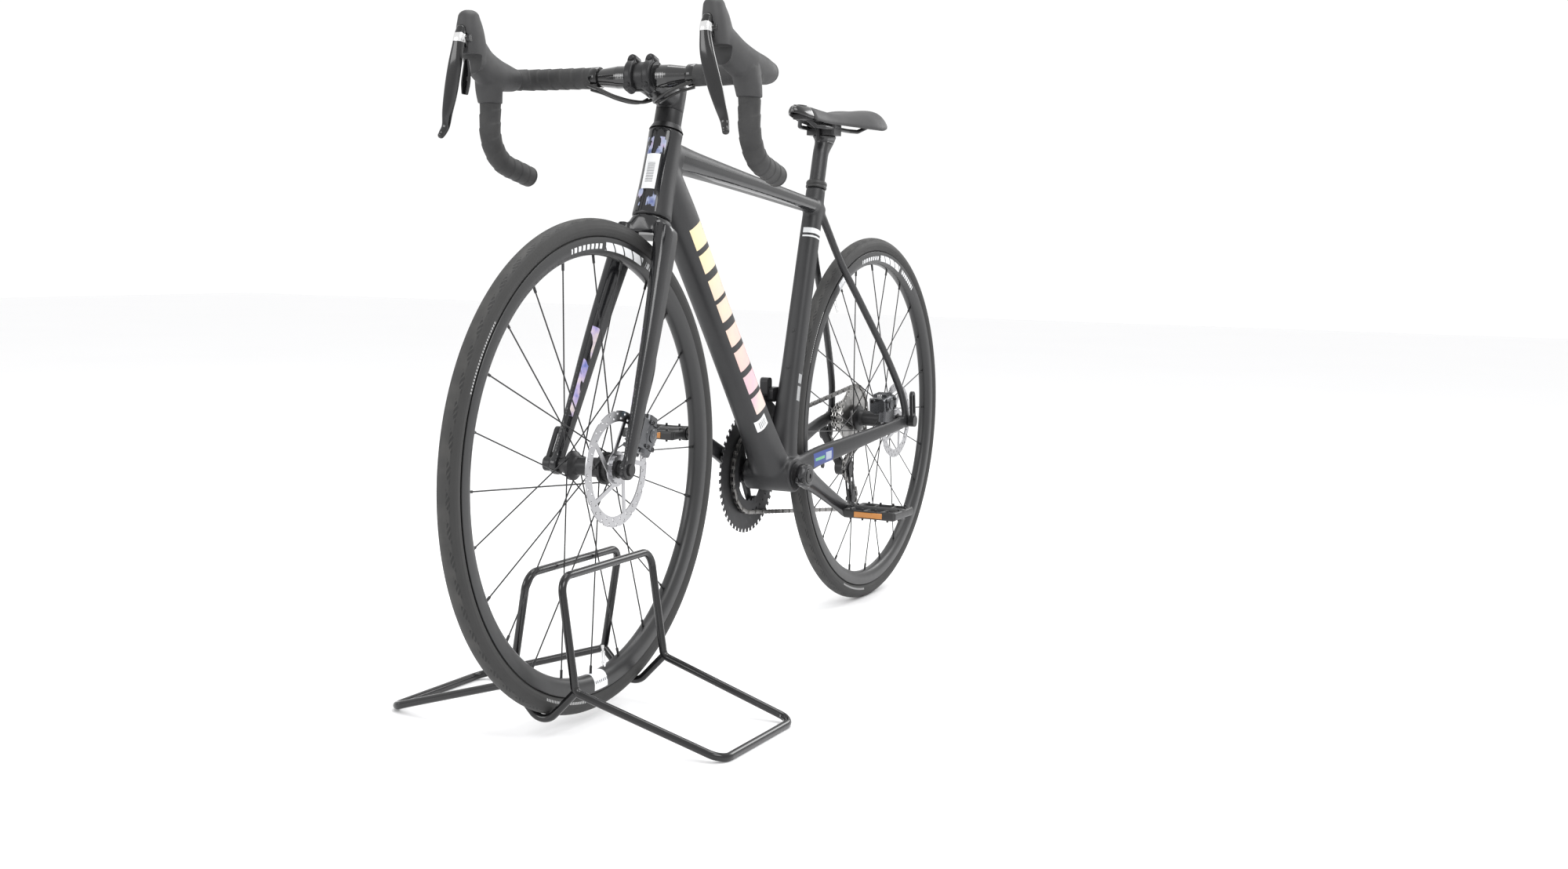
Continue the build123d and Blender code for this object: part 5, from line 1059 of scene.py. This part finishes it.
def make_post():
    head = seat_point(851)
    at_head = lambda *offset: head + V(offset)
    post = body([(SEAT_TOP - SEAT * 190, SEAT, 27.2, 27.2, 2), (SEAT_TOP + SEAT * 30, SEAT, 27.2, 27.2, 2),
                 (seat_point(808), SEAT, 27.2, 27.2, 2),
                 (seat_point(822) + V((-1, 0, 0)), SEAT, 27, 29, 2.1)]
                + placed(at_head, ((-5, 0, -13), (-0.15, 0, 1), 28.5, 39, 2.5),
                         ((-7, 0, -4), (0, 0, 1), 31, 52, 2.9),
                         ((-7, 0, 0), (0, 0, 1), 32, 55, 3.1)), 8, 40)
    scoops = [body(placed(at_head, ((-40, side * 22, -12), (1, 0, 0.25), 22, 12, 2.2),
                          ((-6, side * 22.5, -10), (1, 0, 0.2), 22, 14, 2.2),
                          ((26, side * 22, -10), (1, 0, 0), 22, 10, 2.2)), 6, 24) for side in (1, -1)]
    fuse("seatpost_shell", [post], 1.6, 3, MATS["post"], "saddle", ("seatpost",), cutters=scoops)
    for dx, name in ((-25, "rear"), (25, "front")):
        nut = [ring(V((head.x - 4 + dx, t * 1.7, 868.5)), X, Z, 2 * r, 2 * r, 2, 20)
               for r, t in ((3.4, -6), (4.2, -5), (4.2, 5), (3.4, 6))]
        make(f"clamp_nut_{name}", *skin(nut), MATS["satin"], "saddle", slot="black_alloy", angle=40)
    collar = lathe([(14.1, 0.4), (17.2, 0.4), (18.1, 1.6), (18.1, 3.8), (17.2, 4.8), (17.0, 5.4),
                    (17.9, 6.4), (18.2, 9),
                    (17.6, 11.6), (15.9, 13.4), (14.1, 13.6)], SEAT_TOP, 64, True, SEAT, Y)
    bolt_mid = SEAT_TOP + SEAT * 4.6
    bolt = rod_between(bolt_mid + V((-20.6, -7.6, 0)), bolt_mid + V((-20.6, 7.6, 0)), 3.6, 20)
    lug = round_box(SEAT_TOP + SEAT * 4.4 + V((-18.6, 0, 0)), (7, 10, 8.4), 1.5,
                    (V((SEAT.z, 0, -SEAT.x)), Y, SEAT))
    make("seat_collar_boot", *merged(collar, lug),
         plain("collar_rubber", (0.02, 0.02, 0.02), 0.42, 0, 0, 0.8, 0.02),
         "frame", slot="collar", stands_for=("seat_collar",), angle=45)
    make("seat_collar_bolt", *bolt, MATS["satin"], "frame", slot="bolts", angle=40)


# ---------------------------------------------------------------- chain
def pitch_radius(teeth):
    return 12.7 / 2 / math.sin(math.pi / teeth)


def make_chain():
    guide, tension = V((-470, 0, 246)), V((-487, 0, 187))
    ring_r, cog_r, pulley_r = pitch_radius(34), pitch_radius(30), pitch_radius(11)
    ring_y, cog_y = -40.5, -28.6

    def tangent(start, start_r, end, end_r, turn):
        run = end - start
        return math.atan2(run.z, run.x) + turn * math.acos((start_r - end_r) / math.hypot(run.x, run.z))

    top = tangent(BB, ring_r, HUB_R, cog_r, -1)
    low = tangent(BB, ring_r, tension, pulley_r, 1)
    cross = tangent(tension, pulley_r, guide, -pulley_r, 1)
    feed = tangent(guide, -pulley_r, HUB_R, cog_r, 1)
    tau = 2 * math.pi
    points = []

    def arc(centre, radius, start, end, y):
        n = max(4, int(abs(end - start) * radius / 1.0))
        for k in range(n + 1):
            a = start + (end - start) * k / n
            points.append(V((centre.x + radius * math.cos(a), y, centre.z + radius * math.sin(a))))

    arc(BB, ring_r, low, top, ring_y)
    arc(HUB_R, cog_r, top, feed, cog_y)
    arc(guide, pulley_r, feed - math.pi, cross - math.pi, cog_y)
    arc(tension, pulley_r, cross - tau, low, cog_y)
    points.append(points[0])
    lengths = [0.0]
    for a, b in zip(points, points[1:]):
        lengths.append(lengths[-1] + (b - a).length)
    total = lengths[-1]
    links = 2 * round(total / 12.7 / 2)
    spots, i = [], 0
    for k in range(links):
        s = total * k / links
        while lengths[i + 1] < s:
            i += 1
        t = (s - lengths[i]) / max(1e-9, lengths[i + 1] - lengths[i])
        spots.append(points[i].lerp(points[i + 1], t))
    solids = []
    for k in range(links):
        a, b = spots[k], spots[(k + 1) % links]
        d = (b - a).normalized()
        side = (Y - d * Y.dot(d)).normalized()
        up = d.cross(side)
        half = (b - a).length / 2
        outline = []
        for j in range(20):
            t = 2 * math.pi * j / 20
            c, s = math.cos(t), math.sin(t)
            end = 1 if c >= 0 else -1
            waist = 3.95 if abs(c) > 0.35 else 3.1
            outline.append((end * half * (1 if abs(c) > 0.35 else 0.15) + c * 3.95, s * waist))
        offset, mid = (2.25, (a + b) / 2) if k % 2 else (1.3, (a + b) / 2)
        for sign in (1, -1):
            layers = []
            for depth, inset in ((0, 0.86), (0.15, 1.0), (0.7, 1.0), (0.85, 0.86)):
                base = mid + side * sign * (offset + depth)
                layers.append([base + d * p * (1 if inset == 1 else 0.97) + up * q * inset for p,
                               q in outline])
            v, f = skin(layers)
            solids.append((v, f if sign < 0 else [tuple(reversed(face)) for face in f]))
        solids.append(rod_between(a - side * 3.35, a + side * 3.35, 1.75, 10, 0.25))
        solids.append(rod_between(a - side * 1.25, a + side * 1.25, 3.8, 14, 0.2))
    make("chain_links", *merged(*solids), MATS["chain"], "frame", slot="chain", stands_for=("chain",),
         angle=40)


# ---------------------------------------------------------------- cranks and pedals
def make_cranks():
    for side, name in ((1, "left"), (-1, "right")):
        d = ARM * side
        eye = BB + d * 172.5
        along_arm = lambda t, y: BB + d * t + V((0, side * y, 0))
        hub = [(12.3, 50.3), (18.4, 50.3), (19.2, 51.2), (19.2, 66.2), (18.2, 67.4), (12.3, 67.4)]
        solids = [
            body(placed(
                along_arm,
                ((-16, 59), d, 15, 26, 2.4), ((-6, 59), d, 17, 38, 2.5), ((10, 59), d, 17.4, 40, 2.5),
                ((34, 59.6), d, 16.4, 33, 2.6), ((70, 61), d, 15, 28.5, 2.8), ((110, 63), d, 14, 26, 2.8),
                ((150, 65), d, 13.4, 25.5, 2.6), ((172.5, 66), d, 13, 27, 2.2), ((183, 66.4), d, 12, 18, 2)),
                 6, 36, blunt=False),
            lathe([(r, side * y) for r, y in hub][::side], BB, 48),
        ]
        if side < 0:
            for number in range(4):
                a = math.radians(45 + 90 * number + 26)
                arm = V((math.cos(a), 0, math.sin(a)))
                solids.append(body([(BB + arm * reach + V((0, y, 0)), arm, thick, wide, power)
                                    for reach, y, thick, wide,
                                    power in ((6, -54.5, 8, 30, 2.8), (30, -54, 7, 22, 2.8),
                                                                         (60, -52.8, 4.2, 17, 2.6))], 6, 28))
        fuse(f"crank_arm_{name}", solids, 1.4, 4, MATS["crank"], "crank", (f"crank_{name}",),
             [(tuple(along_arm(26, 59)), 26, 12)])
        plug = lathe([(4.6, 0.6), (9.6, 1.4), (12.4, 1.2), (12.8, 0.2), (12.8, -4), (4.6, -4)],
                     BB + V((0, side * 67.6, 0)), 40, True, Y * side, X)
        make(f"crank_cap_{name}", *plug, MATS["gloss"], "crank", slot="black_alloy", angle=35)
        socket = lathe([(0.01, 0.3), (4.2, 0.3), (5.2, 0.9), (6.6, 0.9), (7.6, 0.2), (7.6, -2), (0.01, -2)],
                       eye + V((0, side * 59.4, 0)), 30, False, -Y * side, X)
        make(f"axle_end_{name}", *socket, MATS["satin"], "crank", slot="bearings", angle=35)
        if side > 0:
            turn = V((-ARM.z, 0, ARM.x))
            for reach, place in ((-5.0, "inner"), (5.0, "outer")):
                foot = BB - d * 15 + V((0, 59 + reach, 0))
                head = lathe([(0.01, 5.2), (1.3, 5.2), (1.6, 6.4), (3.1, 6.4), (3.6, 5.8), (3.6, 0),
                              (0.01, 0)],
                             foot + turn * 10.5, 24, False, turn, Y)
                make(f"pinch_bolt_{place}", *head, MATS["satin"], "crank", slot="bolts", angle=35)
        make_pedal(name, side, V((eye.x, side * 129, eye.z)))


def make_pedal(name, side, mid):
    at_mid = lambda *offset: mid + V(offset)
    solids = [body([(at_mid(0, t, 0), Y, width, depth, 2.4)
                    for t, width, depth in ((-48, 19, 19), (-30, 21, 18), (0, 21, 18), (30, 21, 18),
                                            (48, 19, 19))],
                   3, 24, X)]
    for end in (1, -1):
        # fore and aft rails, a little lower in the middle so that the platform is dished
        solids.append(body([(at_mid(end * (43.5 - abs(t) * 0.05), t, 0), Y, 8.4,
                             15.4 - 1.6 * (1 - abs(t) / 46), 3.4)
                            for t in (-46, -30, 0, 30, 46)], 4, 24, X))
        solids.append(body([(at_mid(t, end * 44.5, 0), X, 9, 13.6 + abs(t) * 0.03, 3.2)
                            for t in (-42, -20, 0, 20, 42)], 4, 24))
        for dy in (-16, 16):
            solids.append(body([(at_mid(end * t, dy + end * 2, 0), X, 5.2, 9.5 + 0.08 * t, 3)
                                for t in (8, 24, 42)], 3, 20))
    windows = [round_box(at_mid(end * 47.4, 0, 0), (6, 52.4, 10.2), 0.6) for end in (1, -1)]
    pedal = f"pedal_{name}"
    fuse(f"pedal_body_{name}", solids, 1.25, 3, MATS["pedal"], pedal, (pedal,), cutters=windows)
    barrel = lathe([(5.4, -50), (10.6, -50), (11.2, -49), (11.2, -42), (10, -41), (5.4, -41)], mid, 32, True,
                   Y * side, X)
    spots = [(x, y) for x in (-41, 41) for y in (-34, -12, 12, 34)] + [(x, y) for y in (44,
                                                                                        -44) for x in (-15,
                                                                                                       15)]
    pins = [rod_between(at_mid(x, y, face * 4), at_mid(x, y, face * 10.3), 1.9, 12, 0.5)
            for x, y in spots for face in (1, -1)]
    make(f"pedal_pins_{name}", *merged(barrel, *pins), MATS["satin"], pedal, slot="pedals", angle=40)
    glass = [round_box(at_mid(end * 45.8, 0, 0), (2.4, 51.6, 9.4), 0.5) for end in (1, -1)]
    make(f"pedal_reflectors_{name}", *merged(*glass), MATS["amber"], pedal, slot="pedals", angle=30)


# ---------------------------------------------------------------- small parts on the calipers and derailleurs
def hex_head(spot, axis, radius, height):
    """A round cap screw with a socket, its head standing on spot."""
    a = axis.orthogonal().normalized()
    return lathe([(radius * 0.56, height), (radius * 0.9, height), (radius, height - 0.5), (radius, -0.8),
                  (0.01, -0.8), (0.01, height * 0.35), (radius * 0.5, height * 0.35)], spot, 20, True, axis,
                  a)


def make_caliper_details(name, centre, lengthwise, wheel, half, body_name):
    outward = V((centre.x - wheel.x, 0, centre.z - wheel.z)).normalized()
    inward = lengthwise.cross(Y).normalized()
    axes = (lengthwise, Y, inward)
    solids = []
    for side in (1, -1):
        solids.append(lathe([(0.01, 1.6), (3.0, 1.6), (3.4, 1.0), (8.6, 1.0), (9.4, 0.4), (9.6, -1.2),
                             (0.01, -1.2)],
                            centre + Y * side * half, 36, False, Y * side, X))
        for shift in (-17.5, 17.5):
            solids.append(round_box(centre + Y * side * (half - 2.2) + lengthwise * shift, (5.4, 5, 24), 1.0,
                                    axes))
    for shift in (-12, -7.2, -2.4, 2.4, 7.2, 12):
        for sign in (-1, 1):
            rib = centre + lengthwise * shift + inward * (sign * 16.6)
            solids.append(round_box(rib, (1.7, half * 1.5, 4.4), 0.5, axes))
    make(f"{name}_caliper_ribs", *merged(*solids), MATS["caliper"], body_name, slot="calipers", angle=40)
    screws = [hex_head(centre + Y * (half - 2) + lengthwise * shift + inward * up, Y, 3.1, 3.0)
              for shift in (-17.5, 17.5) for up in (-6.5, 6.5)]
    screws.append(hex_head(centre + outward * 18 + lengthwise * 22 - Y * 4, lengthwise, 4.2, 4))
    make(f"{name}_caliper_screws", *merged(*screws), MATS["satin"], body_name, slot="bolts", angle=40)
    fin_axes = (V((-outward.z, 0, outward.x)), Y, outward)
    blades = [round_box(centre + outward * 17.5 + Y * t, (15, 0.9, 9), 0.3, fin_axes) for t in (-3.4, -1.2,
                                                                                                1.2, 3.4)]
    make(f"{name}_pad_fins", *merged(*blades), MATS["silver"], body_name, slot="calipers", angle=40)


def make_small_parts():
    top = steer_point(HEAD_LOW - 14, 6)
    leg = V((HUB_F.x - top.x, 0, HUB_F.z - top.z)).normalized()
    make_caliper_details("front", V((427, 39.5, 392)), leg, HUB_F, 19, "fork")
    make_caliper_details("rear", V((-427, 55.7, 375)), V((0.99, 0, -0.1)).normalized(), HUB_R, 18, "frame")
    outer = (V(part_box("front_derailleur")[0]) * 1000).y
    front = [hex_head(V((-116, outer + 16, 404)), -Y, 4.0, 3.2),
             hex_head(V((-110, outer + 15, 388)), -Y, 3.2, 3.2),
             hex_head(V((-126, outer + 16, 390)), -Y, 2.8, 3.0)]
    make("front_derailleur_screws", *merged(*front), MATS["silver"], "frame", slot="derailleurs", angle=40)
    outer = (V(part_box("rear_derailleur_body")[0]) * 1000).y
    rear = [hex_head(V((-470, outer + 14, 246)), -Y, 5.4, 3.0),
            hex_head(V((-493, outer + 12, 300)), -Y, 5.0, 3.0)]
    make("rear_derailleur_screws", *merged(*rear), MATS["satin"], "frame", slot="derailleurs", angle=40)


# ---------------------------------------------------------------- materials of the CAD nodes that stay
def dress():
    looks = dict(
        stand="stand_sides stand_cradles", bar="handlebar", tape="bar_end_plugs",
        hose="control_hoses derailleur_cable",
        caliper="front_caliper rear_caliper", spoke="front_spokes rear_spokes",
        silver="front_valve rear_valve",
        steel="front_rotor rear_rotor freehub_body", cogs="cassette", ring="inner_chainring outer_chainring",
        matte="guide_pulley tension_pulley saddle_sockets",
        satin="headset_bearings headset_spacers stem_faceplate stem_bolts front_axle bottom_bracket_cups"
              " rear_axle front_derailleur rear_derailleur_body rear_derailleur_cage front_hub rear_hub"
              " crank_bolts pedal_axles saddle_clamp saddle_rails front_axle_lever rear_axle_lever",
    )
    for look, nodes in looks.items():
        for node in nodes.split():
            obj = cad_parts[node]
            obj.data.materials.clear()
            obj.data.materials.append(MATS[look])
            smooth(obj, 32)
    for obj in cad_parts.values():
        if not obj.hide_render and not obj.data.materials:
            obj.data.materials.append(MATS["satin"])


setting()
make_frame()
make_fork()
make_wheel("front", HUB_F, -97.0)
make_wheel("rear", HUB_R, 52.5)
make_cockpit()
make_stem()
make_saddle()
make_chain()
make_cranks()
make_small_parts()
dress()
